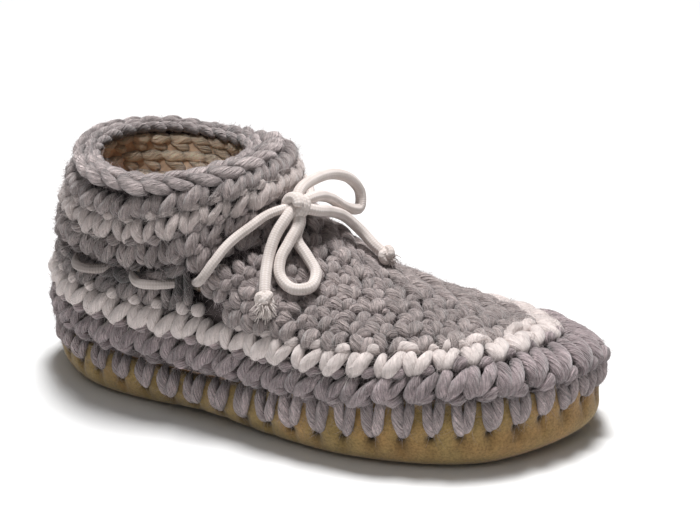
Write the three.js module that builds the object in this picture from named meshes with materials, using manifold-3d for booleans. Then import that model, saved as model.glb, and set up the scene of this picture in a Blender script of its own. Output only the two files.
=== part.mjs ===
// Ankle slipper for the right foot: a chunky crocheted wool upper on a soft suede sole, with a cotton lace.
// Millimetres, +Z up, toe along +X, inner side of the foot along +Y, floor at Z = 0.
import * as THREE from 'three';
import { mergeVertices } from 'three/addons/utils/BufferGeometryUtils.js';
import Module from 'manifold-3d';

const wasm = await Module();
wasm.setup();

// Driving dimensions
const EDGE_HEIGHT = 28; // top edge of the suede, before each section's own lift
const WALL = 9; // thickness of the crocheted wall
const RIB = 1.1; // how far a crochet round stands above and its valleys lie below the mean surface
const ROUND_HEIGHT = 11.7;
const STRIPE_HEIGHT = 12; // height of the pale round above the first one
const FOOT_ROUNDS = 11; // rounds from the suede edge to the ankle, at the toe
const COLLAR_LEVELS = [53, 43.5, 31.5, 18.5, 7.5, 0]; // borders of the ankle's rounds, down from the rim
const INNER_SAMPLES = 6; // points down the inside of the wall
// Rim of the ankle; tilt: higher at the front; dip: lower at the sides; lean: higher on the inner side;
// taper: narrower at the front
const RIM = {
  x: -67, y: -2, halfLength: 43, halfWidth: 45, height: 116.5, tilt: 0.5, dip: 5.5, lean: -1, taper: 0.1,
};
const CLEARANCE = 0.3; // gap between pieces that touch
const SECTION_COUNT = 64; // sections round the foot in the upper, the sole and the insole

const SUEDE = 2.6; // thickness of the suede
const SUEDE_FOOT_INSET = 13; // where the flat underside ends, in from the upper's outline
const SUEDE_SIDE_INSET = 2.5; // where the suede is widest
const SUEDE_TOP_INSET = 4.5; // where its top edge lies under the wool
const SUEDE_SIDE_HEIGHT = 13; // height of the widest place
const BED_CORNER = { inset: 3, height: 3.5 }; // rounding inside the cup, past the suede's own thickness
const ARCH = { start: -72, end: -8, rise: 1.5 };
const TOE_SPRING = { start: 85, end: 131, rise: 3.5 };
const INSOLE_THICKNESS = 3;
const INSOLE_INSET = 14;

const LOOP_COUNT = 48; // wool loops that bind the suede edge
const LOOP_THICKNESS = 4.2;
const LOOP_GAP = 0.85; // between the loops and the suede
const LOOP_SWELL = { bottom: 0.55, middle: 1, top: 0.8 }; // shares of the thickness down a loop

const LACE_RADIUS = 2.1;
const BOW_RADIUS = 2.3; // the bow's cord is less stretched
const LACE_SIDES = 8;
const LACE_ROOM = 0.45; // between the lace and the stitches it passes
const LACE_STEPS = 100;
const BOW_LOOP_STEPS = 20;
const BOW_END_STEPS = 10;
const EYELET_HEIGHT = 66;
const EYELET_RADIUS = 4;
// Shares of the outline, from the heel, of the gaps on each side; the lace goes in at one and out at the next
const EYELETS = [0.2, 0.18, 0.137, 0.117, 0.073];
const EYELET_TURN = 0.01; // the lace is fully inside this far past a gap
const LACE_STEP = 0.021; // between two points of the lace where it runs inside
const LACE_OUTSIDE = 2.8; // lace centre line in front of the wall
const LACE_INSIDE = -7.2; // lace centre line behind a stitch
const LACE_SHOULDER = 0.3; // where the lace is fully outside, as a share of the way between two gaps
const KNOT = { x: -2.6, y: -17, z: 99.6, size: [6, 7, 6] };
const KNOT_CENTRE = new THREE.Vector3(KNOT.x, KNOT.y, KNOT.z);
const TIP_KNOT_RADIUS = 4;
const KNOT_FACETS = [12, 8]; // round and from pole to pole
const TIP_FACETS = [10, 7];

// One row per section, from the heel along the outer side to the toe and back along the inner side.
// x, y: outline at the suede edge; lift: the edge above or below EDGE_HEIGHT
// bulge, rise: how far out the wall swells and how high; inset, crown: where it turns over the foot
// rim: angle of the rim point that the section runs up to; drop, reach: where it meets the ankle
// stripe: distance from the suede edge up to the middle of the pale round
// tip: height of the tips of the wool loops that bind the suede edge
const COLUMNS = [
  'x', 'y', 'lift', 'bulge', 'rise', 'inset', 'crown', 'rim', 'drop', 'reach', 'stripe', 'tip',
];
const SECTIONS = [
  [-131, 0, -2, 1, 22, 3, 46, 180, 30, -12, 24, 15.5], // heel
  [-103, -36, -4, 3, 22, 4, 46, 224, 30, -8, 24, 15.5], // heel, outer side
  [-33, -48, -5, 4, 22, 5, 48, 268, 36, 4, 24, 9.5], // waist, outer side
  [36, -60, 4, 4, 26, 18, 36, 310, 65, 20, 17, 14.5], // ball, outer side
  [98, -43, 5, 5, 22, 28, 31, 338, 76, 34, 29, 20], // toe, outer side
  [132, 6, 5, 4, 16, 36, 26, 360, 82, 37, 34, 23.5], // toe
  [114, 42, 0, 4, 13, 30, 23, 382, 76, 34, 30, 17.5], // toe, inner side
  [64, 54, -2, 4, 15, 24, 22, 408, 65, 20, 18, 11.5], // ball, inner side
  [-25, 40, -4, 4, 20, 6, 43, 454, 37, 4, 23, 9.5], // arch
  [-103, 36, -4, 3, 22, 4, 46, 496, 30, -8, 24, 15.5], // heel, inner side
];
const RIM_START = 180; // the rim angle at the heel
// The collar's front stands out below the rim as a soft shoulder
// below: where it ends, down from the rim; skew: under 1, it is fullest near the rim
// inside: what lies this far off the wall or less keeps its place
// full, end: shares of the outline from the front to where it starts to fade and where it is gone
const SHOULDER = { swell: 8, below: 30, skew: 0.65, inside: -6, full: 0.12, end: 0.26 };
const ANKLE_FLARE = 0.12; // how much wider than the rim the ankle is, for each unit of drop

// Where the lace lies on its way from the outermost eyelet to the knot, on either side of the ankle
// u: share of the outline from the heel; below: distance down from the rim; off: distance off the wall
const RUN = [
  { u: 0.225, below: 48, off: 3.6 },
  { u: 0.255, below: 41, off: 4 },
  { u: 0.296, below: 32.5, off: 4 },
  { u: 0.342, below: 28, off: 4 },
  { u: 0.385, below: 26, off: 3.5 },
];
// The inner run also crosses the front of the ankle to reach the knot, which is tied on the outer side
const CROSSING = [
  { u: 0.57, below: 29, off: 3.5 },
  { u: 0.51, below: 31, off: 3.4 },
  { u: 0.46, below: 30, off: 3.4 },
];

// Routes of the bow, from the knot outwards, in millimetres
const LOOP_FRONT_ROUTE = [
  [0, -20.4, 93.3], [-1.2, -28, 86.7], [-2.6, -34.5, 81], [-0.6, -39.8, 75.5], [6, -42.3, 71.8],
  [12.6, -38.2, 71.8], [12.2, -30.2, 75], [6.2, -25.2, 80], [-0.2, -22, 86.4], [-0.8, -16, 92.8],
];
const LOOP_BACK_ROUTE = [
  [-3.4, -10.4, 104], [-1.8, 4.6, 104.6], [2.2, 15.5, 103.6], [7, 25.4, 98.4], [10, 30.4, 90.4],
  [10.6, 27.8, 84.2], [8, 19.6, 86.6], [3.4, 7.5, 95.4], [1.8, -7.8, 100.8],
];
const END_FRONT_ROUTE = [
  [-4.2, -23.8, 96], [-6.7, -30, 89.8], [-7.3, -37, 81.6], [-5, -46.2, 73.8], [-3, -51, 68.8],
];
const END_BACK_ROUTE = [
  [4.7, -11.8, 96.5], [6.4, 1, 91.6], [9.8, 11.2, 85.8],
  [16.6, 16, 77.4], [23.6, 14.6, 71.9], [29, 14, 69],
];

const WOOL_GREY = new THREE.MeshStandardMaterial({ color: 0x948c8c, roughness: 0.95, metalness: 0 });
const WOOL_DARK = new THREE.MeshStandardMaterial({ color: 0x7d7577, roughness: 0.95, metalness: 0 });
const SUEDE_TAN = new THREE.MeshStandardMaterial({ color: 0xa58c5f, roughness: 0.9, metalness: 0 });
const INSOLE_TAN = new THREE.MeshStandardMaterial({ color: 0xd9a988, roughness: 0.8, metalness: 0 });
const COTTON = new THREE.MeshStandardMaterial({ color: 0xe4dcd2, roughness: 0.85, metalness: 0 });

// Value of a closed smooth curve through equally spaced values, at t counted in values
function closedSpline(values, t) {
  const n = values.length;
  const i = Math.floor(t);
  const f = t - i;
  const [a, b, c, d] = [-1, 0, 1, 2].map((step) => values[(i + step + n) % n]);
  const square = 2 * a - 5 * b + 4 * c - d;
  const cube = 3 * b - a - 3 * c + d;
  return 0.5 * (2 * b + (c - a) * f + square * f * f + cube * f * f * f);
}

// The section columns with the rim angle as its difference from an even turn, so that it closes
const TABLE = Object.fromEntries(COLUMNS.map((name, k) => [name, SECTIONS.map((row, i) => (
  name === 'rim' ? row[k] - RIM_START - 360 * i / SECTIONS.length : row[k]
))]));

// Equal steps of u are equal steps along the outline
const OUTLINE_SAMPLES = 600;
const OUTLINE_LENGTHS = outlineLengths();

function outlineLengths() {
  const lengths = [0];
  for (let i = 1; i <= OUTLINE_SAMPLES; i += 1) {
    const [x0, y0, x1, y1] = [i - 1, i].flatMap((k) => {
      const t = (k % OUTLINE_SAMPLES) / OUTLINE_SAMPLES * SECTIONS.length;
      return [closedSpline(TABLE.x, t), closedSpline(TABLE.y, t)];
    });
    lengths.push(lengths[i - 1] + Math.hypot(x1 - x0, y1 - y0));
  }
  return lengths;
}

// Place in a rising list of lengths, in list steps
function placeIn(lengths, length) {
  let i = 1;
  while (i < lengths.length - 1 && lengths[i] < length) {
    i += 1;
  }
  const part = (length - lengths[i - 1]) / (lengths[i] - lengths[i - 1]);
  return i - 1 + part;
}

function sectionAt(u) {
  const wrapped = u - Math.floor(u);
  const place = placeIn(OUTLINE_LENGTHS, wrapped * OUTLINE_LENGTHS[OUTLINE_SAMPLES]);
  const t = place / OUTLINE_SAMPLES * SECTIONS.length;
  const section = Object.fromEntries(COLUMNS.map((name) => [name, closedSpline(TABLE[name], t)]));
  section.rim += RIM_START + 360 * t / SECTIONS.length;
  section.edge = EDGE_HEIGHT + section.lift;
  return section;
}

const DELTA = 1e-3; // step for slopes

// Horizontal direction straight out from the outline
function outwardAt(u) {
  const before = sectionAt(u - DELTA);
  const after = sectionAt(u + DELTA);
  return new THREE.Vector3(after.y - before.y, before.x - after.x, 0).normalize();
}

// A point of the outline, moved in by an inset and set at a height
function outlinePoint(u, inset, height) {
  const section = sectionAt(u);
  return new THREE.Vector3(section.x, section.y, height).addScaledVector(outwardAt(u), -inset);
}

// The five control points of a section: suede edge, swelling side, crown, ankle and rim
function controlPoints(u) {
  const section = sectionAt(u);
  const out = outwardAt(u);
  const edge = new THREE.Vector3(section.x, section.y, section.edge);
  const side = edge.clone().addScaledVector(out, section.bulge);
  side.z += section.rise;
  const crown = edge.clone().addScaledVector(out, -section.inset);
  crown.z += section.crown;
  const angle = THREE.MathUtils.degToRad(section.rim);
  const [cos, sin] = [Math.cos(angle), Math.sin(angle)];
  const rimHeight = RIM.height + RIM.tilt * cos - RIM.dip * sin ** 2 + RIM.lean * sin;
  const halfWidth = RIM.halfWidth * (1 - RIM.taper * cos);
  const rim = new THREE.Vector3(RIM.x + RIM.halfLength * cos, RIM.y + halfWidth * sin, rimHeight);
  const ankle = new THREE.Vector3(section.reach, ANKLE_FLARE * section.drop * sin, -section.drop);
  return [edge, side, crown, ankle.add(rim), rim];
}

const BINOMIALS = [1, 4, 6, 4, 1];

function onCurve(points, v) {
  const sum = new THREE.Vector3();
  points.forEach((point, k) => {
    sum.addScaledVector(point, BINOMIALS[k] * (1 - v) ** (4 - k) * v ** k);
  });
  return sum;
}

// How far the collar's front stands out, at a share of the outline and a distance down from the rim
function shoulderAt(u, below) {
  const fromFront = Math.abs(THREE.MathUtils.euclideanModulo(u, 1) - 0.5);
  const front = 1 - THREE.MathUtils.smoothstep(fromFront, SHOULDER.full, SHOULDER.end);
  const down = THREE.MathUtils.clamp(below / SHOULDER.below, 0, 1) ** SHOULDER.skew;
  return SHOULDER.swell * front * Math.sin(Math.PI * down);
}

// One section of the wall, measured along its curve from the suede edge to the rim
const CURVE_SAMPLES = 80;

function wallSection(u) {
  const points = controlPoints(u);
  const nextPoints = controlPoints(u + DELTA);
  const lengths = [0];
  for (let i = 1; i <= CURVE_SAMPLES; i += 1) {
    const step = onCurve(points, i / CURVE_SAMPLES).distanceTo(onCurve(points, (i - 1) / CURVE_SAMPLES));
    lengths.push(lengths[i - 1] + step);
  }
  const total = lengths[CURVE_SAMPLES];
  // Point at a length up the section, moved off the wall by a distance
  const at = (length, off) => {
    const v = THREE.MathUtils.clamp(placeIn(lengths, length) / CURVE_SAMPLES, 0, 1);
    const here = onCurve(points, v);
    const along = onCurve(nextPoints, v).sub(here);
    const from = Math.max(v - DELTA, 0);
    const up = onCurve(points, Math.min(v + DELTA, 1)).sub(onCurve(points, from));
    const swell = off > SHOULDER.inside ? shoulderAt(u, total - length) : 0;
    return here.addScaledVector(along.cross(up).normalize(), off + swell);
  };
  // Length up the section at which the wall reaches a height
  const lengthAtHeight = (height) => {
    const i = lengths.findIndex((length, k) => onCurve(points, k / CURVE_SAMPLES).z >= height);
    return lengths[i];
  };
  return { total, at, lengthAtHeight, stripe: sectionAt(u).stripe };
}

// Borders of the rounds on one section, as lengths from the suede edge up to the ankle
function footLevels(wall) {
  const ankle = wall.total - COLLAR_LEVELS[0];
  const stripeLow = wall.stripe - STRIPE_HEIGHT / 2;
  const stripeHigh = wall.stripe + STRIPE_HEIGHT / 2;
  const levels = [0, stripeLow, stripeHigh];
  while (levels.length <= FOOT_ROUNDS) {
    levels.push(levels[levels.length - 1] + ROUND_HEIGHT);
  }
  const closest = ROUND_HEIGHT / 4;
  return levels.map((level) => (level > ankle - closest ? ankle : level));
}

// A ribbed line of points through the borders of the rounds, valleys at the borders and a crest between
function ribbedLine(wall, levels) {
  const line = [wall.at(levels[0], -RIB)];
  for (let i = 1; i < levels.length; i += 1) {
    const crest = levels[i] > levels[i - 1] ? RIB : -RIB;
    line.push(wall.at((levels[i - 1] + levels[i]) / 2, crest));
    line.push(wall.at(levels[i], -RIB));
  }
  return line;
}

const WELD = 1e-4; // corners closer than this are one

// A closed surface from rows of points that join up both ways
function closedGrid(rows) {
  const positions = [];
  const push = (...points) => points.forEach((p) => positions.push(p.x, p.y, p.z));
  rows.forEach((row, i) => {
    const next = rows[(i + 1) % rows.length];
    row.forEach((point, j) => {
      const k = (j + 1) % row.length;
      push(point, next[j], next[k]);
      push(point, next[k], row[k]);
    });
  });
  return weld(positions);
}

// Triangles with shared corners merged and flat ones dropped
function weld(positions) {
  const loose = new THREE.BufferGeometry();
  loose.setAttribute('position', new THREE.Float32BufferAttribute(positions, 3));
  return clean(mergeVertices(loose, WELD));
}

function clean(geometry) {
  const index = [];
  for (let i = 0; i < geometry.index.count; i += 3) {
    const [a, b, c] = [0, 1, 2].map((k) => geometry.index.getX(i + k));
    if (a !== b && b !== c && c !== a) {
      index.push(a, b, c);
    }
  }
  geometry.setIndex(index);
  if (volume(geometry) < 0) {
    index.reverse();
    geometry.setIndex(index);
  }
  return geometry;
}

function volume(geometry) {
  const places = geometry.attributes.position;
  const corner = [0, 1, 2].map(() => new THREE.Vector3());
  let sum = 0;
  for (let i = 0; i < geometry.index.count; i += 3) {
    corner.forEach((p, k) => p.fromBufferAttribute(places, geometry.index.getX(i + k)));
    sum += corner[0].dot(corner[1].clone().cross(corner[2])) / 6;
  }
  return sum;
}

// Only the positions of a geometry, with shared corners merged
function bare(geometry) {
  const copy = geometry.clone();
  copy.deleteAttribute('normal');
  copy.deleteAttribute('uv');
  return clean(mergeVertices(copy, WELD));
}

function toManifold(geometry) {
  const mesh = new wasm.Mesh({
    numProp: 3,
    vertProperties: new Float32Array(geometry.attributes.position.array),
    triVerts: new Uint32Array(geometry.index.array),
  });
  mesh.merge();
  return new wasm.Manifold(mesh);
}

function fromManifold(solid) {
  const mesh = solid.getMesh();
  const geometry = new THREE.BufferGeometry();
  geometry.setAttribute('position', new THREE.BufferAttribute(mesh.vertProperties, 3));
  geometry.setIndex(new THREE.BufferAttribute(mesh.triVerts, 1));
  return geometry;
}

function cutBy(geometry, cutters) {
  const cut = cutters.reduce((rest, cutter) => rest.subtract(toManifold(cutter)), toManifold(geometry));
  return fromManifold(cut);
}

// A round bar along a smooth line of points
function bar(points, radius, steps) {
  const section = new THREE.Shape();
  section.absarc(0, 0, radius, 0, 2 * Math.PI);
  const path = new THREE.CatmullRomCurve3(points);
  const options = { steps, extrudePath: path, curveSegments: LACE_SIDES / 2 };
  return bare(new THREE.ExtrudeGeometry(section, options));
}

function toPoints(route) {
  return route.map((place) => new THREE.Vector3(...place));
}

// Upper: one hollow crocheted wall, open at the collar and underneath
function upperGeometry() {
  const rows = [];
  for (let i = 0; i < SECTION_COUNT; i += 1) {
    const wall = wallSection(i / SECTION_COUNT);
    const collar = COLLAR_LEVELS.map((below) => wall.total - below);
    const foot = ribbedLine(wall, footLevels(wall));
    const ankle = ribbedLine(wall, collar).slice(1);
    const inside = [];
    for (let k = 0; k < INNER_SAMPLES; k += 1) {
      inside.push(wall.at(wall.total * (1 - k / (INNER_SAMPLES - 1)), -WALL));
    }
    rows.push([...foot, ...ankle, ...inside]);
  }
  const gaps = EYELET_PLACES.map(eyeletCutter);
  const laceRoom = bar(laceLine(), LACE_RADIUS + LACE_ROOM, LACE_STEPS);
  return cutBy(closedGrid(rows), [...gaps, laceRoom]);
}

// Where the lace passes the wall, from the outer side round the heel to the inner side
const EYELET_PLACES = [...EYELETS, ...EYELETS.map((u) => -u).reverse()];

function eyeletPoint(u, off) {
  const wall = wallSection(u);
  return wall.at(wall.lengthAtHeight(EYELET_HEIGHT), off);
}

function eyeletCutter(u) {
  const inner = eyeletPoint(u, -2 * WALL);
  const outer = eyeletPoint(u, WALL);
  return bar([inner, outer], EYELET_RADIUS, 1);
}

// Centre line of the lace: down the outer run, through the eyelets round the heel and up the inner run
function laceLine() {
  const onWall = (place) => {
    const wall = wallSection(place.u);
    return wall.at(wall.total - place.below, place.off);
  };
  const mirrored = RUN.map((place) => ({ ...place, u: 1 - place.u }));
  const outerRun = RUN.map(onWall);
  const innerRun = [...mirrored, ...CROSSING].map(onWall);
  const weave = [];
  for (let i = 0; i < EYELET_PLACES.length; i += 2) {
    const [first, second, next] = EYELET_PLACES.slice(i, i + 3);
    const end = second + EYELET_TURN - DELTA;
    for (let u = first - EYELET_TURN; u > end; u -= LACE_STEP) {
      weave.push(eyeletPoint(u, LACE_INSIDE));
    }
    if (next !== undefined) {
      weave.push(eyeletPoint(second + (next - second) * LACE_SHOULDER, LACE_OUTSIDE));
      weave.push(eyeletPoint(second + (next - second) * (1 - LACE_SHOULDER), LACE_OUTSIDE));
    }
  }
  return [KNOT_CENTRE, ...outerRun.reverse(), ...weave, ...innerRun, KNOT_CENTRE];
}

// Outsole: a suede cup with a flat tread, a low arch, a little toe spring and a rounded side
function treadHeight(x) {
  const inArch = THREE.MathUtils.clamp((x - ARCH.start) / (ARCH.end - ARCH.start), 0, 1);
  const arch = ARCH.rise * Math.sin(Math.PI * inArch) ** 2;
  const inToe = Math.max((x - TOE_SPRING.start) / (TOE_SPRING.end - TOE_SPRING.start), 0);
  return arch + TOE_SPRING.rise * inToe ** 2;
}

function treadPoint(u, inset, height) {
  const point = outlinePoint(u, inset, 0);
  point.z = treadHeight(point.x) + height;
  return point;
}

// Inset of the suede's outer face at a height
function suedeInset(height, edge) {
  if (height < SUEDE_SIDE_HEIGHT) {
    const turn = Math.sqrt(1 - (1 - height / SUEDE_SIDE_HEIGHT) ** 2);
    return SUEDE_FOOT_INSET - (SUEDE_FOOT_INSET - SUEDE_SIDE_INSET) * turn;
  }
  const lean = (height - SUEDE_SIDE_HEIGHT) / (edge - SUEDE_SIDE_HEIGHT);
  return SUEDE_SIDE_INSET + (SUEDE_TOP_INSET - SUEDE_SIDE_INSET) * lean;
}

const SIDE_TURNS = [0, 0.12, 0.4, 1]; // heights on the rounded side, as shares of its height

function suedeSide(u) {
  const edge = sectionAt(u).edge - CLEARANCE;
  const outside = SIDE_TURNS.map((turn) => {
    const height = turn * SUEDE_SIDE_HEIGHT;
    const point = treadPoint(u, suedeInset(height, edge), 0);
    point.z += height * (1 - point.z / SUEDE_SIDE_HEIGHT);
    return point;
  });
  outside.push(outlinePoint(u, SUEDE_TOP_INSET, edge));
  const inside = [
    outlinePoint(u, SUEDE_TOP_INSET + SUEDE, edge),
    outlinePoint(u, SUEDE_SIDE_INSET + SUEDE, SUEDE_SIDE_HEIGHT),
    treadPoint(u, SUEDE_SIDE_INSET + SUEDE + BED_CORNER.inset, SUEDE + BED_CORNER.height),
    treadPoint(u, SUEDE_FOOT_INSET, SUEDE),
  ];
  return { outside, inside };
}

// Triangles of a plate whose border is a list of points round the foot, laid in strips across it
function plate(border, heightAt, across) {
  const half = border.length / 2;
  const strip = (i) => {
    const left = border[i];
    const right = border[(border.length - i) % border.length];
    return Array.from({ length: across + 1 }, (_, k) => {
      const point = left.clone().lerp(right, k / across);
      if (k > 0 && k < across) {
        point.z = heightAt(point.x);
      }
      return point;
    });
  };
  const positions = [];
  const push = (...points) => points.forEach((p) => positions.push(p.x, p.y, p.z));
  for (let i = 0; i < half; i += 1) {
    const here = strip(i);
    const next = strip(i + 1);
    for (let k = 0; k < across; k += 1) {
      push(here[k], next[k], next[k + 1]);
      push(here[k], next[k + 1], here[k + 1]);
    }
  }
  return positions;
}

// Triangles between neighbouring lines of points, closed round the foot
function skirt(lines) {
  const positions = [];
  const push = (...points) => points.forEach((p) => positions.push(p.x, p.y, p.z));
  lines.forEach((line, i) => {
    const next = lines[(i + 1) % lines.length];
    for (let k = 0; k + 1 < line.length; k += 1) {
      push(line[k], next[k], next[k + 1]);
      push(line[k], next[k + 1], line[k + 1]);
    }
  });
  return positions;
}

function flipped(positions) {
  const turned = [];
  for (let i = 0; i < positions.length; i += 9) {
    const [a, b, c] = [0, 3, 6].map((k) => positions.slice(i + k, i + k + 3));
    turned.push(...a, ...c, ...b);
  }
  return turned;
}

const PLATE_STRIPS = 4;

function outsoleGeometry() {
  const sides = Array.from({ length: SECTION_COUNT }, (_, i) => suedeSide(i / SECTION_COUNT));
  const lines = sides.map((side) => [...side.outside, ...side.inside]);
  const tread = plate(sides.map((side) => side.outside[0]), treadHeight, PLATE_STRIPS);
  const bed = plate(sides.map((side) => side.inside.at(-1)), (x) => treadHeight(x) + SUEDE, PLATE_STRIPS);
  return weld([...skirt(lines), ...flipped(tread), ...bed]);
}

// Insole: a thin pad on the suede
function insoleGeometry() {
  const low = SUEDE + CLEARANCE;
  const high = low + INSOLE_THICKNESS;
  const lines = Array.from({ length: SECTION_COUNT }, (_, i) => {
    const u = i / SECTION_COUNT;
    return [treadPoint(u, INSOLE_INSET, low), treadPoint(u, INSOLE_INSET, high)];
  });
  const under = plate(lines.map((line) => line[0]), (x) => treadHeight(x) + low, PLATE_STRIPS);
  const top = plate(lines.map((line) => line[1]), (x) => treadHeight(x) + high, PLATE_STRIPS);
  return weld([...skirt(lines), ...flipped(under), ...top]);
}

// Edge stitches: a band of pointed wool loops round the suede edge
// Each row is one place across a loop: how far down it reaches and how thick it is, as shares
const LOOP_SHAPE = [
  { at: 0, reach: 0.2, thickness: 0.6 }, // between two loops
  { at: 0.26, reach: 0.72, thickness: 1 }, // first strand
  { at: 0.5, reach: 1, thickness: 0.75 }, // tip, with the groove between the strands above it
  { at: 0.74, reach: 0.72, thickness: 1 }, // second strand
];

function edgeStitchGeometry() {
  const rows = [];
  for (let i = 0; i < LOOP_COUNT; i += 1) {
    LOOP_SHAPE.forEach((place) => {
      rows.push(loopSection((i + place.at) / LOOP_COUNT, place));
    });
  }
  return closedGrid(rows);
}

function loopSection(u, place) {
  const section = sectionAt(u);
  const top = section.edge - 2 * CLEARANCE;
  const bottom = top - place.reach * (section.edge - section.tip);
  const middle = (top + bottom) / 2;
  const thickness = LOOP_THICKNESS * place.thickness;
  const off = (height, share) => {
    const inset = suedeInset(height, section.edge) - LOOP_GAP;
    return outlinePoint(u, inset - thickness * share, height);
  };
  return [
    off(bottom, 0),
    off(bottom, LOOP_SWELL.bottom),
    off(middle, LOOP_SWELL.middle),
    off(top, LOOP_SWELL.top),
    off(top, 0),
    off(middle, 0),
  ];
}

// Lace: the length through the eyelets, and the bow that is tied from it
function knotGeometry(grow) {
  const geometry = new THREE.SphereGeometry(1, ...KNOT_FACETS);
  geometry.scale(...KNOT.size.map((size) => size + grow));
  geometry.translate(KNOT.x, KNOT.y, KNOT.z);
  return bare(geometry);
}

function bowLoop(route) {
  const line = [KNOT_CENTRE, ...toPoints(route), KNOT_CENTRE];
  return cutBy(bar(line, BOW_RADIUS, BOW_LOOP_STEPS), [knotGeometry(CLEARANCE)]);
}

function bowEnd(route) {
  const line = [KNOT_CENTRE, ...toPoints(route)];
  return cutBy(bar(line, BOW_RADIUS, BOW_END_STEPS), [knotGeometry(CLEARANCE), tipKnot(route, CLEARANCE)]);
}

// The small knot at a lace end, around the last point of its route
function tipKnot(route, grow) {
  const geometry = new THREE.SphereGeometry(TIP_KNOT_RADIUS + grow, ...TIP_FACETS);
  geometry.translate(...route[route.length - 1]);
  return bare(geometry);
}

const slipper = new THREE.Group();

function addPiece(name, geometry, material) {
  const mesh = new THREE.Mesh(geometry, material);
  mesh.name = name;
  slipper.add(mesh);
}

addPiece('outsole', outsoleGeometry(), SUEDE_TAN);
addPiece('insole', insoleGeometry(), INSOLE_TAN);
addPiece('upper', upperGeometry(), WOOL_GREY);
addPiece('edge_stitches', edgeStitchGeometry(), WOOL_DARK);
addPiece('lace_band', cutBy(bar(laceLine(), LACE_RADIUS, LACE_STEPS), [knotGeometry(CLEARANCE)]), COTTON);
addPiece('lace_knot', knotGeometry(0), COTTON);
addPiece('lace_loop_front', bowLoop(LOOP_FRONT_ROUTE), COTTON);
addPiece('lace_loop_back', bowLoop(LOOP_BACK_ROUTE), COTTON);
addPiece('lace_end_front', bowEnd(END_FRONT_ROUTE), COTTON);
addPiece('lace_end_back', bowEnd(END_BACK_ROUTE), COTTON);
addPiece('lace_tip_front', tipKnot(END_FRONT_ROUTE, 0), COTTON);
addPiece('lace_tip_back', tipKnot(END_BACK_ROUTE, 0), COTTON);

export default slipper;
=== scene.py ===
import math

import bpy
import numpy as np
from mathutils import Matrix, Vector


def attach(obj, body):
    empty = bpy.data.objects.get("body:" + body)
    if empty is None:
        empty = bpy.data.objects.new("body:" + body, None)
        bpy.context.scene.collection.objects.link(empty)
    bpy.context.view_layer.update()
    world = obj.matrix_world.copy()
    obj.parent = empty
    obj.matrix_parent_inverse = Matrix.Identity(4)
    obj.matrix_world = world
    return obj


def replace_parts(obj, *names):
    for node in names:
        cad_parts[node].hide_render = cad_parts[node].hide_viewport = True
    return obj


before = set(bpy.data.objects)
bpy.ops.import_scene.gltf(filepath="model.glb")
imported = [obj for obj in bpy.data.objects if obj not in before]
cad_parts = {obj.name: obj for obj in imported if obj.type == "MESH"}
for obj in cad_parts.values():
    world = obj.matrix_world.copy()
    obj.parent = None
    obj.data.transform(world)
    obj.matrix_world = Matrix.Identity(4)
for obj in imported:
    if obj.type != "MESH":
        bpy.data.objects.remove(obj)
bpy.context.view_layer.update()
MM = 0.001
rng = np.random.default_rng(11)

# Form of the upper: the part's own sizes and sections, with the stripe a little lower on the toe's outer side
EDGE_HEIGHT = 28.0
RIM = {
    "x": -67, "y": -2, "half_length": 43, "half_width": 45, "height": 116.5,
    "tilt": 0.5, "dip": 5.5, "lean": -1, "taper": 0.1,
}
RIM_START = 180.0
ANKLE_FLARE = 0.12
COLUMNS = ("x", "y", "lift", "bulge", "rise", "inset", "crown", "rim", "drop", "reach", "stripe", "tip")
SECTIONS = np.array([
    [-131, 0, -2, 1, 22, 3, 46, 180, 30, -12, 24, 15.5],  # heel
    [-103, -36, -4, 3, 22, 4, 46, 224, 30, -8, 24, 15.5],  # heel, outer side
    [-33, -48, -5, 4, 22, 5, 48, 268, 36, 4, 24, 9.5],  # waist, outer side
    [36, -60, 4, 4, 26, 18, 36, 310, 65, 20, 17, 14.5],  # ball, outer side
    [98, -43, 5, 5, 22, 28, 31, 338, 76, 34, 27.5, 20],  # toe, outer side
    [132, 6, 5, 4, 16, 36, 26, 360, 82, 37, 34, 23.5],  # toe
    [114, 42, 0, 4, 13, 30, 23, 382, 76, 34, 30, 17.5],  # toe, inner side
    [64, 54, -2, 4, 15, 24, 22, 408, 65, 20, 18, 11.5],  # ball, inner side
    [-25, 40, -4, 4, 20, 6, 43, 454, 37, 4, 23, 9.5],  # arch
    [-103, 36, -4, 3, 22, 4, 46, 496, 30, -8, 24, 15.5],  # heel, inner side
], float)

# The collar's front stands out below the rim as a soft shoulder
SHOULDER = {"swell": 8.0, "below": 30.0, "skew": 0.65, "inside": -6.0, "full": 0.12, "end": 0.26}

# Suede sole
SUEDE = 2.6
SUEDE_FOOT_INSET = 13.0
SUEDE_SIDE_INSET = 2.5
SUEDE_TOP_INSET = 4.5
SUEDE_SIDE_HEIGHT = 13.0
ARCH = {"start": -72.0, "end": -8.0, "rise": 1.5}
TOE_SPRING = {"start": 85.0, "end": 131.0, "rise": 3.5}
INSOLE_THICKNESS = 3.0
INSOLE_INSET = 14.0
CLEARANCE = 0.3

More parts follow.
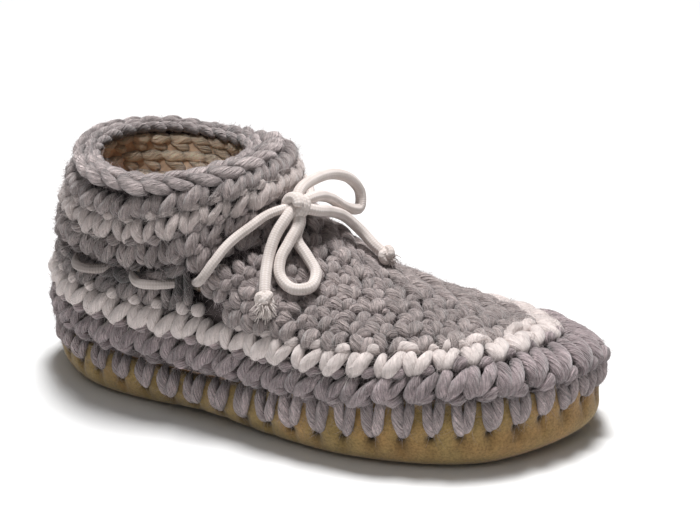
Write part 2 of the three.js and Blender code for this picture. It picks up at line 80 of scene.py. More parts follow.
# Crochet
PITCH = 12.2  # width of a stitch
ROUND_HEIGHT = 11.7
STRIPE_HALF = 6.0  # half the height of the pale round on the foot
ANKLE_BELOW = 53.0  # the ankle's lowest border, down from the rim
COLLAR_ROUNDS = {"band": (53.0, 44.0), "lower": (43.5, 32.0), "pale": (31.5, 19.0), "upper": (18.5, 7.5)}
COLLAR_FRONT = 0.66  # at the front the ankle's rounds lie at this share of their distance from the rim
ANKLE_FRONT = {"reach": 0.36, "fade": 0.17}  # shares of the outline from the middle of the toe
TOE = {"reach": 0.17, "fade": 0.1}
EYELET_ZONE = 0.207  # share of the outline on each side of the heel that has eyelets
CORE_OFF = -4.6  # outside of the wool behind the stitches
CORE_THICKNESS = 2.6
CORE_GAP = {"reach": 13.0, "fade": 5.0}  # painted shade round a gap that the lace passes
CORE_TOP = 7.0  # the wool next to the rim is grey on both sides
INNER_OFF = -7.3  # centre of the stitches' backs
STRAND = 2.75  # radius of a wool strand

# Wool loops over the suede edge
LOOP_COUNT = 48
LOOP_TOP = {"slope": 0.35, "tip": 14.0}  # the loops start higher where their tips are higher
LOOP_STRAND = 2.65  # radius of a loop's strand

# Lace
LACE_RADIUS = 2.1
BOW_RADIUS = 2.55  # the bow's cord is less stretched
EYELET_HEIGHT = 66.0
EYELET_RADIUS = 4.0
EYELETS = np.array([0.2, 0.18, 0.137, 0.117, 0.073])
EYELET_PLACES = np.concatenate([EYELETS, -EYELETS[::-1]])  # from the outer side round the heel
EYELET_TURN = 0.01
LACE_STEP = 0.021  # between two points of the lace where it runs inside
LACE_OUTSIDE = 2.8
LACE_INSIDE = -7.2
LACE_SHOULDER = 0.3
KNOT = np.array([-2.6, -17, 99.6])
RUN = np.array([[0.225, 48, 3.6], [0.255, 41, 4], [0.296, 32.5, 4], [0.342, 28, 4], [0.385, 26, 3.5]])
CROSSING = np.array([[0.57, 29, 3.5], [0.51, 31, 3.4], [0.46, 30, 3.4]])
LOOP_FRONT = np.array([
    [0, -20.4, 93.3], [-1.2, -28, 86.7], [-2.6, -34.5, 81], [-0.6, -39.8, 75.5], [6, -42.3, 71.8],
    [12.6, -38.2, 71.8], [12.2, -30.2, 75], [6.2, -25.2, 80], [-0.2, -22, 86.4], [-0.8, -16, 92.8],
])
LOOP_BACK = np.array([
    [-3.4, -10.4, 104], [-1.8, 4.6, 104.6], [2.2, 15.5, 103.6], [7, 25.4, 98.4], [10, 30.4, 90.4],
    [10.6, 27.8, 84.2], [8, 19.6, 86.6], [3.4, 7.5, 95.4], [1.8, -7.8, 100.8],
])
END_FRONT = np.array([
    [-4.2, -23.8, 96], [-6.7, -30, 89.8], [-7.3, -37, 81.6], [-5, -46.2, 73.8], [-3, -51, 68.8],
])
END_BACK = np.array([
    [4.7, -11.8, 96.5], [6.4, 1, 91.6], [9.8, 11.2, 85.8],
    [16.6, 16, 77.4], [23.6, 14.6, 71.9], [29, 14, 69],
])

# Camera at the photograph's angle
IMAGE_WIDTH = 700
IMAGE_HEIGHT = 524
FOCAL_PIXELS = 1989
PRINCIPAL_X = 315.4
PRINCIPAL_Y = 295.6
CAMERA_AZIMUTH = math.radians(21.5)
CAMERA_ELEVATION = math.radians(24)
CAMERA_DISTANCE = 0.9
CAMERA_TARGET = Vector((0, 0, 0.05))
SENSOR_WIDTH = 36


def add_camera():
    data = bpy.data.cameras.new("camera")
    camera = bpy.data.objects.new("camera", data)
    bpy.context.scene.collection.objects.link(camera)
    level = math.cos(CAMERA_ELEVATION)
    back = Vector((
        math.sin(CAMERA_AZIMUTH) * level,
        -math.cos(CAMERA_AZIMUTH) * level,
        math.sin(CAMERA_ELEVATION),
    ))
    camera.location = CAMERA_TARGET + back * CAMERA_DISTANCE
    camera.rotation_euler = (-back).to_track_quat("-Z", "Y").to_euler()
    data.sensor_width = SENSOR_WIDTH
    data.lens = SENSOR_WIDTH * FOCAL_PIXELS / IMAGE_WIDTH
    data.shift_x = (IMAGE_WIDTH / 2 - PRINCIPAL_X) / IMAGE_WIDTH
    data.shift_y = (PRINCIPAL_Y - IMAGE_HEIGHT / 2) / IMAGE_WIDTH
    bpy.context.scene.camera = camera


add_camera()


# Surface of the upper
def closed_spline(values, t):
    """Values of a closed smooth curve through equally spaced values, at t counted in values."""
    n = len(values)
    i = np.floor(t).astype(int)
    f = t - i
    a, b, c, d = (values[(i + step) % n] for step in (-1, 0, 1, 2))
    square = 2 * a - 5 * b + 4 * c - d
    cube = 3 * b - a - 3 * c + d
    return 0.5 * (2 * b + (c - a) * f + square * f**2 + cube * f**3)


def lengths_along(points):
    """Lengths from the start of lines to each of their points."""
    steps = np.linalg.norm(np.diff(points, axis=-2), axis=-1)
    return np.concatenate([np.zeros_like(steps[..., :1]), np.cumsum(steps, axis=-1)], axis=-1)


TABLE = {name: SECTIONS[:, k].copy() for k, name in enumerate(COLUMNS)}
TABLE["rim"] -= RIM_START + 360 * np.arange(len(SECTIONS)) / len(SECTIONS)
OUTLINE_T = np.linspace(0, len(SECTIONS), 601)
OUTLINE = np.stack([closed_spline(TABLE[axis], OUTLINE_T) for axis in ("x", "y")], -1)
OUTLINE_LENGTHS = lengths_along(OUTLINE)
PERIMETER = OUTLINE_LENGTHS[-1]
DELTA = 1e-3  # step for slopes
CURVE_SAMPLES = 80


def section_at(u):
    """The section table's values at shares u of the outline."""
    t = np.interp(np.mod(u, 1) * PERIMETER, OUTLINE_LENGTHS, OUTLINE_T)
    section = {name: closed_spline(TABLE[name], t) for name in COLUMNS}
    section["rim"] = section["rim"] + RIM_START + 360 * t / len(SECTIONS)
    section["edge"] = EDGE_HEIGHT + section["lift"]
    return section


def outward_at(u):
    """Horizontal directions straight out from the outline."""
    before = section_at(u - DELTA)
    after = section_at(u + DELTA)
    out = np.stack([after["y"] - before["y"], before["x"] - after["x"], np.zeros_like(u)], -1)
    return out / np.linalg.norm(out, axis=-1, keepdims=True)


def outline_points(u, inset, height):
    """Points of the outline, moved in by an inset and set at a height."""
    u, inset, height = np.broadcast_arrays(u, inset, height)
    section = section_at(u)
    points = np.stack([section["x"], section["y"], np.zeros(u.shape)], -1)
    points = points - outward_at(u) * inset[..., None]
    points[..., 2] = height
    return points


def control_points(u):
    """The five control points of each section: suede edge, swelling side, crown, ankle and rim."""
    section = section_at(u)
    out = outward_at(u)
    edge = np.stack([section["x"], section["y"], section["edge"]], -1)
    up = np.array([0, 0, 1.0])
    side = edge + out * section["bulge"][:, None] + up * section["rise"][:, None]
    crown = edge - out * section["inset"][:, None] + up * section["crown"][:, None]
    angle = np.radians(section["rim"])
    cos, sin = np.cos(angle), np.sin(angle)
    rim_height = RIM["height"] + RIM["tilt"] * cos - RIM["dip"] * sin**2 + RIM["lean"] * sin
    half_width = RIM["half_width"] * (1 - RIM["taper"] * cos)
    rim = np.stack([RIM["x"] + RIM["half_length"] * cos, RIM["y"] + half_width * sin, rim_height], -1)
    flare = ANKLE_FLARE * section["drop"] * sin
    ankle = rim + np.stack([section["reach"], flare, -section["drop"]], -1)
    return np.stack([edge, side, crown, ankle, rim])


def on_curve(points, v):
    weights = [math.comb(4, k) * (1 - v) ** (4 - k) * v**k for k in range(5)]
    return sum(w[..., None] * p for w, p in zip(weights, points))


def section_lengths(points):
    """Points of each section at equal steps of its curve, and the lengths along it there."""
    lines = on_curve(points[:, :, None, :], np.linspace(0, 1, CURVE_SAMPLES + 1))
    return lines, lengths_along(lines)


def eased(share):
    """A share kept from 0 to 1, with a soft start and end."""
    share = np.clip(share, 0, 1)
    return share**2 * (3 - 2 * share)


def from_front(u):
    """Share of the outline from a place to the middle of the toe."""
    return np.abs(np.mod(u, 1) - 0.5)


def shoulder_at(u, below):
    """How far the collar's front stands out, at a distance down from the rim."""
    front = eased((SHOULDER["end"] - from_front(u)) / (SHOULDER["end"] - SHOULDER["full"]))
    down = np.clip(below / SHOULDER["below"], 0, 1) ** SHOULDER["skew"]
    return SHOULDER["swell"] * front * np.sin(math.pi * down)


def unit(vectors):
    return vectors / np.maximum(np.linalg.norm(vectors, axis=-1, keepdims=True), 1e-9)


def on_wall(u, length, off):
    """Points and outward normals of the wall: share u of the outline, length up the section, distance off."""
    u, length, off = np.broadcast_arrays(u, length, off)
    shape = u.shape
    u, length, off = u.ravel(), length.ravel(), off.ravel()
    points = control_points(u)
    lengths = section_lengths(points)[1]
    i = np.clip((lengths < length[:, None]).sum(axis=1), 1, CURVE_SAMPLES)
    row = np.arange(len(u))
    part = (length - lengths[row, i - 1]) / (lengths[row, i] - lengths[row, i - 1])
    v = np.clip((i - 1 + part) / CURVE_SAMPLES, 0, 1)
    here = on_curve(points, v)
    along = on_curve(control_points(u + DELTA), v) - here
    up = unit(on_curve(points, np.minimum(v + DELTA, 1)) - on_curve(points, np.maximum(v - DELTA, 0)))
    normal = unit(np.cross(along, up))
    beyond = np.maximum(length - lengths[:, -1], 0) + np.minimum(length, 0)
    swell = np.where(off > SHOULDER["inside"], shoulder_at(u, lengths[:, -1] - length), 0)
    places = here + up * beyond[:, None] + normal * (off + swell)[:, None]
    return places.reshape(*shape, 3), normal.reshape(*shape, 3)


GRID_U = np.linspace(0, 1, 721)
GRID_TOTAL = section_lengths(control_points(GRID_U))[1][:, -1]


def total_at(u):
    """Length of the section from the suede edge to the rim."""
    return np.interp(np.mod(u, 1), GRID_U, GRID_TOTAL)


def front_share(u):
    """1 at the front of the ankle, 0 at its sides and back."""
    return eased((ANKLE_FRONT["reach"] - from_front(u)) / ANKLE_FRONT["fade"])


def below_rim(u, below):
    """Length up the wall of a level below the rim, closer to it at the front."""
    return total_at(u) - below * (1 - (1 - COLLAR_FRONT) * front_share(u))


def ankle_at(u):
    return below_rim(u, ANKLE_BELOW)


def length_at_height(u, height):
    """Length up the section at which the wall reaches a height."""
    lines, lengths = section_lengths(control_points(u))
    first = (lines[..., 2] >= height).argmax(axis=1)
    return lengths[np.arange(len(u)), first]


# Mesh making
def new_piece(name, vertices, faces, material):
    """One mesh object from points in millimetres and arrays of faces, each with its own corner count."""
    mesh = bpy.data.meshes.new(name)
    corners = np.concatenate([f.ravel() for f in faces]).astype(np.int32)
    sizes = np.concatenate([np.full(len(f), f.shape[1]) for f in faces]).astype(np.int32)
    starts = np.concatenate([[0], np.cumsum(sizes)[:-1]]).astype(np.int32)
    mesh.vertices.add(len(vertices))
    mesh.vertices.foreach_set("co", (vertices * MM).astype(np.float32).ravel())
    mesh.loops.add(len(corners))
    mesh.loops.foreach_set("vertex_index", corners)
    mesh.polygons.add(len(sizes))
    mesh.polygons.foreach_set("loop_start", starts)
    mesh.polygons.foreach_set("use_smooth", np.ones(len(sizes), bool))
    mesh.update(calc_edges=True)
    mesh.materials.append(material)
    piece = bpy.data.objects.new(name, mesh)
    bpy.context.scene.collection.objects.link(piece)
    return piece


def set_float(piece, name, values):
    attribute = piece.data.attributes.new(name, "FLOAT", "POINT")
    attribute.data.foreach_set("value", values.astype(np.float32).ravel())


def ring_angles(sides):
    """Angles round a strand, from the side that faces the wall."""
    return math.pi + 2 * math.pi * np.arange(sides) / sides


def tube_rings(centre, normal, radius, flatten, sides, lumps):
    """Rings of points round many centre lines, shaped strand, ring, side."""
    tangent = unit(np.gradient(centre, axis=1))
    side = unit(np.cross(tangent, normal))
    up = np.cross(side, tangent)
    angle = ring_angles(sides)
    out, across = flatten * np.cos(angle)[:, None], np.sin(angle)[:, None]
    around = out * up[:, :, None, :] + across * side[:, :, None, :]
    count, rings = radius.shape
    phase = rng.uniform(0, 2 * math.pi, (3, count, 1, 1))
    t = np.linspace(0, 2 * math.pi, rings)[None, :, None]
    # Lumps: waves that go round and along each strand
    waves = np.sin(2 * angle + t + phase[0]) + np.sin(3 * angle - 1.5 * t + phase[1])
    waves = waves + np.sin(1.6 * t + phase[2])
    size = radius[:, :, None] * (1 + lumps * waves)
    return centre[:, :, None, :] + size[..., None] * around


def band_faces(number):
    """Quads between neighbouring rows of point numbers that run round a closed line."""
    after = np.roll(number, -1, axis=1)
    return np.stack([number[:-1], after[:-1], after[1:], number[1:]], -1).reshape(-1, 4)


UV_SPREAD = 400.0  # strands start at places this far apart in the noise


def strand_piece(name, centre, normal, radius, material, level=None, flatten=0.88, sides=12, lumps=0.045):
    """One joined mesh of closed strands along many centre lines, with coordinates that run along them.

    level: height of the centre lines over the wall, if it is to be kept.
    """
    count, rings = centre.shape[:2]
    body = tube_rings(centre, normal, radius, flatten, sides, lumps).reshape(count, rings * sides, 3)
    vertices = np.concatenate([body, centre[:, [0, -1]]], axis=1)
    per_strand = vertices.shape[1]
    first = per_strand * np.arange(count)[:, None, None]
    around = np.arange(sides)
    number = np.arange(rings * sides).reshape(rings, sides)
    quads = (first + band_faces(number)).reshape(-1, 4)
    start_cap = np.stack([np.full(sides, number.size), np.roll(around, -1), around], -1)
    end_cap = np.stack([np.full(sides, number.size + 1), number[-1], np.roll(number[-1], -1)], -1)
    caps = (first + np.concatenate([start_cap, end_cap])).reshape(-1, 3)
    piece = new_piece(name, vertices.reshape(-1, 3), [quads, caps], material)

    along = lengths_along(centre) + rng.uniform(0, UV_SPREAD, (count, 1))
    left, right = around / sides, (around + 1) / sides
    near, far = along[:, :-1, None], along[:, 1:, None]
    corners = np.broadcast_arrays(left, near, right, near, right, far, left, far)
    quad_uv = np.stack(corners, -1).reshape(-1, 2)
    cap_v = np.repeat(along[:, [0, -1]], sides, axis=1)
    cap_u = np.broadcast_to(np.tile(left, 2), cap_v.shape)
    cap_uv = np.stack([cap_u, cap_v] * 3, -1).reshape(-1, 2)
    layer = piece.data.uv_layers.new(name="strand")
    layer.data.foreach_set("uv", np.concatenate([quad_uv, cap_uv]).astype(np.float32).ravel())
    set_float(piece, "tint", np.repeat(rng.uniform(0, 1, count), per_strand))
    # The height is kept for the wool's painted shade
    if level is not None:
        height = level[:, :, None] + flatten * radius[:, :, None] * np.cos(ring_angles(sides))
        set_float(piece, "height", np.concatenate([height.reshape(count, -1), level[:, [0, -1]]], axis=1))
    return piece


def finish_piece(piece, slot, *replaced):
    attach(piece, "root")
    if replaced:
        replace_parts(piece, *replaced)
    return piece


# Materials
def srgb(red, green, blue):
    """Linear colour of an sRGB colour with parts from 0 to 255."""
    parts = np.array([red, green, blue]) / 255
    linear = np.where(parts <= 0.04045, parts / 12.92, ((parts + 0.055) / 1.055) ** 2.4)
    return (*linear, 1.0)


def shade(colour, factor):
    return (*(min(part * factor, 1.0) for part in colour[:3]), 1.0)


def grey(value):
    return (value, value, value, 1)


def mottle(low, high):
    """Stops of a ramp over noise: one colour for its low places and another for its high ones."""
    return [(0.3, low), (0.7, high)]


TANS = [(0.34, srgb(142, 120, 76)), (0.5, srgb(156, 132, 86)), (0.66, srgb(164, 130, 84))]
NAP_SPECKS = [(0.3, grey(0.66)), (0.5, grey(1)), (0.74, (1.32, 1.3, 1.22, 1))]
DIRT = srgb(92, 70, 40)
# Painted shade on the suede, in its holes and under the first round
SUEDE_SHADE_DARK = srgb(22, 16, 12)
FELT = mottle(srgb(196, 150, 118), srgb(220, 174, 142))
WHITES = mottle(srgb(215, 205, 201), srgb(230, 221, 218))
# Painted shade in the braid's grooves
BRAID_GROOVES = [(0.0, (0.9, 0.88, 0.85, 1)), (0.6, grey(1.02))]
# Painted shade on the threaded lace
LACE_SHADE_TONE = srgb(138, 128, 124)
# Painted shade behind the stitches: darkened grey wool outside, darker still at the lace's gaps
CORE_OUTSIDE = mottle(srgb(62, 55, 55), srgb(96, 87, 86))
CORE_INSIDE = mottle(srgb(216, 184, 154), srgb(244, 212, 182))
CORE_DARK = srgb(30, 25, 25)


class Shader:
    """A material with a principled shader, and short ways to add nodes to it."""

    def __init__(self, name, roughness, sheen, specular=0.25):
        self.material = bpy.data.materials.new(name)
        self.material.use_nodes = True
        self.tree = self.material.node_tree
        self.surface = self.tree.nodes["Principled BSDF"]
        self.surface.inputs["Roughness"].default_value = roughness
        self.surface.inputs["Specular IOR Level"].default_value = specular
        self.surface.inputs["Sheen Weight"].default_value = sheen
        self.surface.inputs["Sheen Roughness"].default_value = 0.5

    def node(self, kind, inputs, **settings):
        made = self.tree.nodes.new(kind)
        for name, value in settings.items():
            setattr(made, name, value)
        for name, value in inputs.items():
            if isinstance(value, bpy.types.NodeSocket):
                self.tree.links.new(value, made.inputs[name])
            else:
                made.inputs[name].default_value = value
        return made

    def math(self, operation, a, b=0.0):
        return self.node("ShaderNodeMath", {0: a, 1: b}, operation=operation).outputs[0]

    def noise(self, scale, place=None, detail=3.0, roughness=0.6):
        """Noise over the whole piece, or over other coordinates."""
        if place is None:
            place = self.node("ShaderNodeTexCoord", {}).outputs["Object"]
        inputs = {"Vector": place, "Scale": scale, "Detail": detail, "Roughness": roughness}
        return self.node("ShaderNodeTexNoise", inputs).outputs["Fac"]

    def ramp(self, factor, stops):
        made = self.node("ShaderNodeValToRGB", {"Fac": factor})
        elements = made.color_ramp.elements
        while len(elements) < len(stops):
            elements.new(0.5)
        for element, (position, colour) in zip(elements, stops):
            element.position = position
            element.color = colour
        return made.outputs["Color"]

    def mix(self, factor, a, b, blend="MIX"):
        """Two colours mixed, by way of the node's sockets for colours: 6 and 7 in, 2 out."""
        inputs = {0: factor, 6: a, 7: b}
        return self.node("ShaderNodeMix", inputs, data_type="RGBA", blend_type=blend).outputs[2]

    def times(self, tone, source, stops, strength=1.0):
        """A tone multiplied by a ramp over a source."""
        return self.mix(strength, tone, self.ramp(source, stops), "MULTIPLY")

    def attribute(self, name):
        return self.node("ShaderNodeAttribute", {}, attribute_name=name).outputs["Fac"]

    def strand_place(self):
        """The coordinates on a strand, and their two parts: round it and along it."""
        uv = self.node("ShaderNodeUVMap", {}, uv_map="strand").outputs["UV"]
        parts = self.node("ShaderNodeSeparateXYZ", {"Vector": uv})
        return uv, parts.outputs["X"], parts.outputs["Y"]

    def bump(self, height, strength, distance, below=None):
        inputs = {"Height": height, "Strength": strength, "Distance": distance}
        if below is not None:
            inputs["Normal"] = below
        return self.node("ShaderNodeBump", inputs).outputs["Normal"]

    def finish(self, colour, normal=None):
        self.tree.links.new(colour, self.surface.inputs["Base Color"])
        if normal is not None:
            self.tree.links.new(normal, self.surface.inputs["Normal"])
        return self.material


# Noise on a wool strand: scale round it, twist, scale along it, detail
PLIES = (13.0, 0.6, 0.12, 2.0)
FIBRES = (34.0, 1.5, 0.26, 3.0)
PATCHES = (3.0, 0.0, 0.2, 2.0)
SPECK_SCALE = 1500.0
TINT_SPREAD = 40.0  # sets the noise of one strand apart from the next
CREVICE = {"depth": 4.5, "span": 6.0}  # painted shade: a strand is dark this deep, and light this much higher


def wool_material(name, colour, depth, spread, crevice, relief=1.0):
    """Loosely twisted wool: fibres run round the strand as they go along it, with painted shade between
    strands.

    depth: contrast of the fibres; spread: of strands and patches; crevice: tone of the painted shade deep
    between strands;
    relief: height of the plies and fibres.
    """
    shader = Shader(name, roughness=0.95, sheen=0.5)
    around, along = shader.strand_place()[1:]
    tint = shader.attribute("tint")

    def along_strand(round_scale, twist, length_scale, detail):
        """Noise drawn out along the strand and wound round it."""
        across = shader.math("MULTIPLY", around, round_scale)
        place = shader.node("ShaderNodeCombineXYZ", {
            "X": shader.math("ADD", across, shader.math("MULTIPLY", along, twist)),
            "Y": shader.math("MULTIPLY", along, length_scale),
            "Z": shader.math("MULTIPLY", tint, TINT_SPREAD),
        }).outputs["Vector"]
        return shader.noise(1.0, place, detail, roughness=0.65)

    plies, fibres, patches = (along_strand(*noise) for noise in (PLIES, FIBRES, PATCHES))
    specks = shader.noise(SPECK_SCALE, detail=2.0)
    fibre_tones = [(0.32, shade(colour, 1 - depth)), (0.5, colour), (0.68, shade(colour, 1 + depth))]
    tone = shader.ramp(fibres, fibre_tones)
    for source, low, high in ((tint, 0.0, 1.0), (patches, 0.34, 0.66), (plies, 0.36, 0.64)):
        tone = shader.times(tone, source, [(low, grey(1 - spread)), (high, grey(1 + 0.7 * spread))])
    light_hairs = [(0.32, grey(1 - 0.4 * depth)), (0.5, grey(1)), (0.72, grey(1 + 0.6 * depth))]
    tone = shader.times(tone, specks, light_hairs)
    # Painted shade: the deeper a strand lies, the darker it is, as between strands
    height = shader.math("ADD", shader.attribute("height"), CREVICE["depth"])
    height = shader.math("DIVIDE", height, CREVICE["span"])
    half_dark = grey(0.5 * (1 + crevice))
    tone = shader.times(tone, height, [(0.12, grey(crevice)), (0.55, half_dark), (0.88, grey(1))])
    normal = shader.bump(plies, strength=0.9 * relief, distance=0.003)
    normal = shader.bump(fibres, strength=0.6 * relief, distance=0.001, below=normal)
    normal = shader.bump(specks, strength=0.4, distance=0.0005, below=normal)
    return shader.finish(tone, normal)


def suede_material():
    shader = Shader("suede", roughness=0.93, sheen=0.35, specular=0.15)
    broad = shader.noise(26.0)
    middle = shader.noise(160.0)
    nap = shader.noise(1500.0, detail=2.0)
    speck = shader.noise(900.0, detail=1.0)
    tone = shader.ramp(broad, TANS)
    tone = shader.times(tone, middle, mottle(grey(0.86), grey(1.1)))
    tone = shader.times(tone, speck, NAP_SPECKS, strength=0.75)
    tone = shader.mix(shader.attribute("smudge"), tone, DIRT)
    # Painted shade of the holes and under the first round
    tone = shader.mix(shader.attribute("holes_and_shade"), tone, SUEDE_SHADE_DARK)
    normal = shader.bump(middle, strength=0.25, distance=0.0012)
    normal = shader.bump(nap, strength=0.5, distance=0.0004, below=normal)
    return shader.finish(tone, normal)


def insole_material():
    shader = Shader("insole_pad", roughness=0.8, sheen=0.2)
    grain = shader.noise(1100.0)
    broad = shader.noise(40.0)
    tone = shader.times(shader.ramp(broad, FELT), grain, mottle(grey(0.88), grey(1.06)))
    return shader.finish(tone, shader.bump(grain, strength=0.4, distance=0.0004))


BRAID = {"round": 8 * math.pi, "along": 2.9}  # angle of the braid's waves per turn and per millimetre


def cotton_material():
    """Braided cotton: two sets of threads cross round the cord."""
    shader = Shader("cotton", roughness=0.85, sheen=0.15)
    uv, around, along = shader.strand_place()
    around = shader.math("MULTIPLY", around, BRAID["round"])
    along = shader.math("MULTIPLY", along, BRAID["along"])
    one = shader.math("SINE", shader.math("ADD", around, along))
    other = shader.math("SINE", shader.math("SUBTRACT", around, along))
    braid = shader.math("MULTIPLY", one, other)
    threads = shader.noise(6.0, uv)
    broad = shader.noise(120.0)
    tone = shader.times(shader.ramp(broad, WHITES), braid, BRAID_GROOVES)
    # Painted shade where the lace runs by its eyelets
    tone = shader.mix(shader.attribute("lace_shade"), tone, LACE_SHADE_TONE)
    normal = shader.bump(braid, strength=0.35, distance=0.0003)
    normal = shader.bump(threads, strength=0.3, distance=0.0003, below=normal)
    return shader.finish(tone, normal)


GREY_LOOK = {"depth": 0.42, "spread": 0.22, "crevice": 0.18}
GREY = wool_material("wool_grey", srgb(168, 155, 152), **GREY_LOOK)
DARK = wool_material("wool_dark", srgb(171, 155, 157), **GREY_LOOK)
# A lighter copy of the grey wool: painted light on the edge loops
EDGE = wool_material("wool_edge", srgb(188, 172, 172), **GREY_LOOK)
PALE = wool_material("wool_pale", srgb(226, 214, 210), depth=0.11, spread=0.09, crevice=0.42, relief=0.5)
ANKLE_PALE = wool_material(
    "wool_ankle_pale", srgb(194, 181, 177), depth=0.13, spread=0.1, crevice=0.38, relief=0.5,
)
# A lighter copy of the grey wool: painted light on the rim's chain links
RIM_GREY = wool_material("wool_rim", srgb(204, 190, 188), depth=0.36, spread=0.18, crevice=0.24)
INNER = wool_material("wool_inner", srgb(255, 228, 200), depth=0.24, spread=0.1, crevice=0.3)
SUEDE_LOOK = suede_material()
INSOLE_LOOK = insole_material()
COTTON = cotton_material()

# Lace, with its bow
SPAN_POINTS = 8  # points of a cord from one point of its route to the next
KNOT_POINTS = 60
WRAP_POINTS = 70
ASKEW = [0.31, 0.2, 0.93]  # a direction that no cord sets out in
NEAR_UPRIGHT = [0.2, 0.1, 1.0]  # and one that no lace end points in
# A lace end's tip: size and strand of its knot, then the spread, length, fall and thickness of its threads
TIP = {
    "knot": 3.0, "strand": 1.8, "spread": 0.6, "shortest": 0.5, "droop": -1.2, "start": 1.2, "scatter": 0.8,
    "thread": 0.34,
}
# The strand wrapped round the bow's knot
WRAP = {"turns": 2.2, "radius": 3.5, "reach": 3.2, "strand": 2.5, "axis": [0.25, 1.0, -0.35]}
# Where painted shade darkens the threaded lace: by the heel, on the side, and where it comes out towards the
# bow
LACE_SHADE_SPOTS = [
    {"u": EYELETS[3:].mean(), "depth": 0.8, "reach": 20.0, "fade": 6.0},
    {"u": EYELETS[1:3].mean(), "depth": 0.35, "reach": 20.0, "fade": 6.0},
    {"u": EYELETS[0], "depth": 0.65, "reach": 24.0, "fade": 22.0},
]


def smooth_route(points):
    """Points along a smooth open curve through the points of a route."""
    ends = np.concatenate([[2 * points[0] - points[1]], points, [2 * points[-1] - points[-2]]])
    knots = np.concatenate([[0], np.cumsum(np.linalg.norm(np.diff(ends, axis=0), axis=1) ** 0.5)])
    made = []
    for i in range(1, len(ends) - 2):
        t = np.linspace(knots[i], knots[i + 1], SPAN_POINTS, endpoint=False)[:, None]
        p, k = ends[i - 1:i + 3], knots[i - 1:i + 3]
        a = [((k[j + 1] - t) * p[j] + (t - k[j]) * p[j + 1]) / (k[j + 1] - k[j]) for j in range(3)]
        b = [((k[j + 2] - t) * a[j] + (t - k[j]) * a[j + 1]) / (k[j + 2] - k[j]) for j in range(2)]
        made.append(((k[2] - t) * b[0] + (t - k[1]) * b[1]) / (k[2] - k[1]))
    return np.concatenate([*made, points[-1:]])


def turning_normals(line):
    """Normals along a line that don't twist round it."""
    tangent = unit(np.gradient(line, axis=0))
    normal = [unit(np.cross(tangent[0], ASKEW))]
    for step in tangent[1:]:
        normal.append(unit(normal[-1] - step * np.dot(normal[-1], step)))
    return np.array(normal)


def cord_piece(name, line, radius, taper=0.6):
    """A round cord along a line, with narrowed ends."""
    sizes = np.full(len(line), radius)
    sizes[[0, -1]] *= taper
    course = (line[None], turning_normals(line)[None], sizes[None])
    return strand_piece(name, *course, COTTON, flatten=1.0, sides=14, lumps=0.0)


def eyelet_point(u, off):
    u = np.atleast_1d(u)
    return on_wall(u, length_at_height(u, EYELET_HEIGHT), off)[0][0]


def run_points(places):
    """Points on the wall. places columns: share of the outline, distance down from the rim, distance off."""
    u, below, off = places.T
    return on_wall(u, total_at(u) - below, off)[0]


def lace_route():
    """Down the outer run, through the eyelets round the heel and up the inner run, knot to knot."""
    mirrored = RUN * [-1, 1, 1] + [1, 0, 0]
    weave = []
    for i in range(0, len(EYELET_PLACES), 2):
        first, second = EYELET_PLACES[i:i + 2]
        inside = np.arange(first - EYELET_TURN, second + EYELET_TURN - DELTA, -LACE_STEP)
        weave.extend(eyelet_point(u, LACE_INSIDE) for u in inside)
        if i + 2 < len(EYELET_PLACES):
            gap = EYELET_PLACES[i + 2] - second
            weave.append(eyelet_point(second + gap * LACE_SHOULDER, LACE_OUTSIDE))
            weave.append(eyelet_point(second + gap * (1 - LACE_SHOULDER), LACE_OUTSIDE))
    inner_run = run_points(np.concatenate([mirrored, CROSSING]))
    return np.concatenate([[KNOT], run_points(RUN)[::-1], weave, inner_run, [KNOT]])


def free_cord(name, route, far_end, with_pieces, *replaced):
    """A piece of the bow: a cord that leaves the knot."""
    line = smooth_route(np.concatenate(route))
    piece = finish_piece(cord_piece(name, line, BOW_RADIUS), "cotton", *replaced)


def trefoil(centre, size, tangent):
    """Line of a tight knot round a centre, its axis along the cord."""
    t = np.linspace(0, 2 * math.pi, KNOT_POINTS)
    across = np.sin(t) + 2 * np.sin(2 * t)
    up = np.cos(t) - 2 * np.cos(2 * t)
    flat = np.stack([across, up, -1.5 * np.sin(3 * t)], -1) / 3
    side = unit(np.cross(tangent, NEAR_UPRIGHT))
    axes = np.stack([side, np.cross(tangent, side), tangent])
    return centre + size * flat @ axes


def tip_piece(name, route, node, count, longest):
    """The knot at a lace end, and its frayed threads."""
    direction = unit(route[-1] - route[-2])
    piece = cord_piece(name, trefoil(route[-1], TIP["knot"], direction), TIP["strand"], 1.0)
    finish_piece(piece, "cotton", node)
    spread = unit(direction + rng.normal(0, TIP["spread"], (count, 3)))
    length = longest * rng.uniform(TIP["shortest"], 1, (count, 1))
    t = np.linspace(0, 1, 6)[None, :, None]
    start = route[-1] + direction * TIP["start"] + rng.normal(0, TIP["scatter"], (count, 3))
    line = start[:, None] + t * (spread * length)[:, None] + t**2 * np.array([0, 0, TIP["droop"]])
    normal = np.broadcast_to(unit(rng.normal(0, 1, (count, 1, 3))), line.shape)
    radius = np.broadcast_to(TIP["thread"] * (1 - 0.5 * t[..., 0]), line.shape[:2])
    threads = strand_piece(name + "_threads", line, normal, radius, COTTON, sides=6)
    finish_piece(threads, "cotton")
    return [piece, threads]


def knot_piece():
    """The bow's knot: a strand wrapped twice round the crossing."""
    turns = np.linspace(0, 2 * math.pi * WRAP["turns"], WRAP_POINTS)
    axis = unit(np.array(WRAP["axis"]))
    side = unit(np.cross(axis, [0, 0, 1.0]))
    up = np.cross(side, axis)
    slide = np.linspace(-1.0, 1.0, len(turns))[:, None] * WRAP["reach"]
    round_axis = np.cos(turns)[:, None] * side + np.sin(turns)[:, None] * up
    line = KNOT + axis * slide + WRAP["radius"] * round_axis
    finish_piece(cord_piece("bow_knot", line, WRAP["strand"], 0.5), "cotton", "lace_knot")


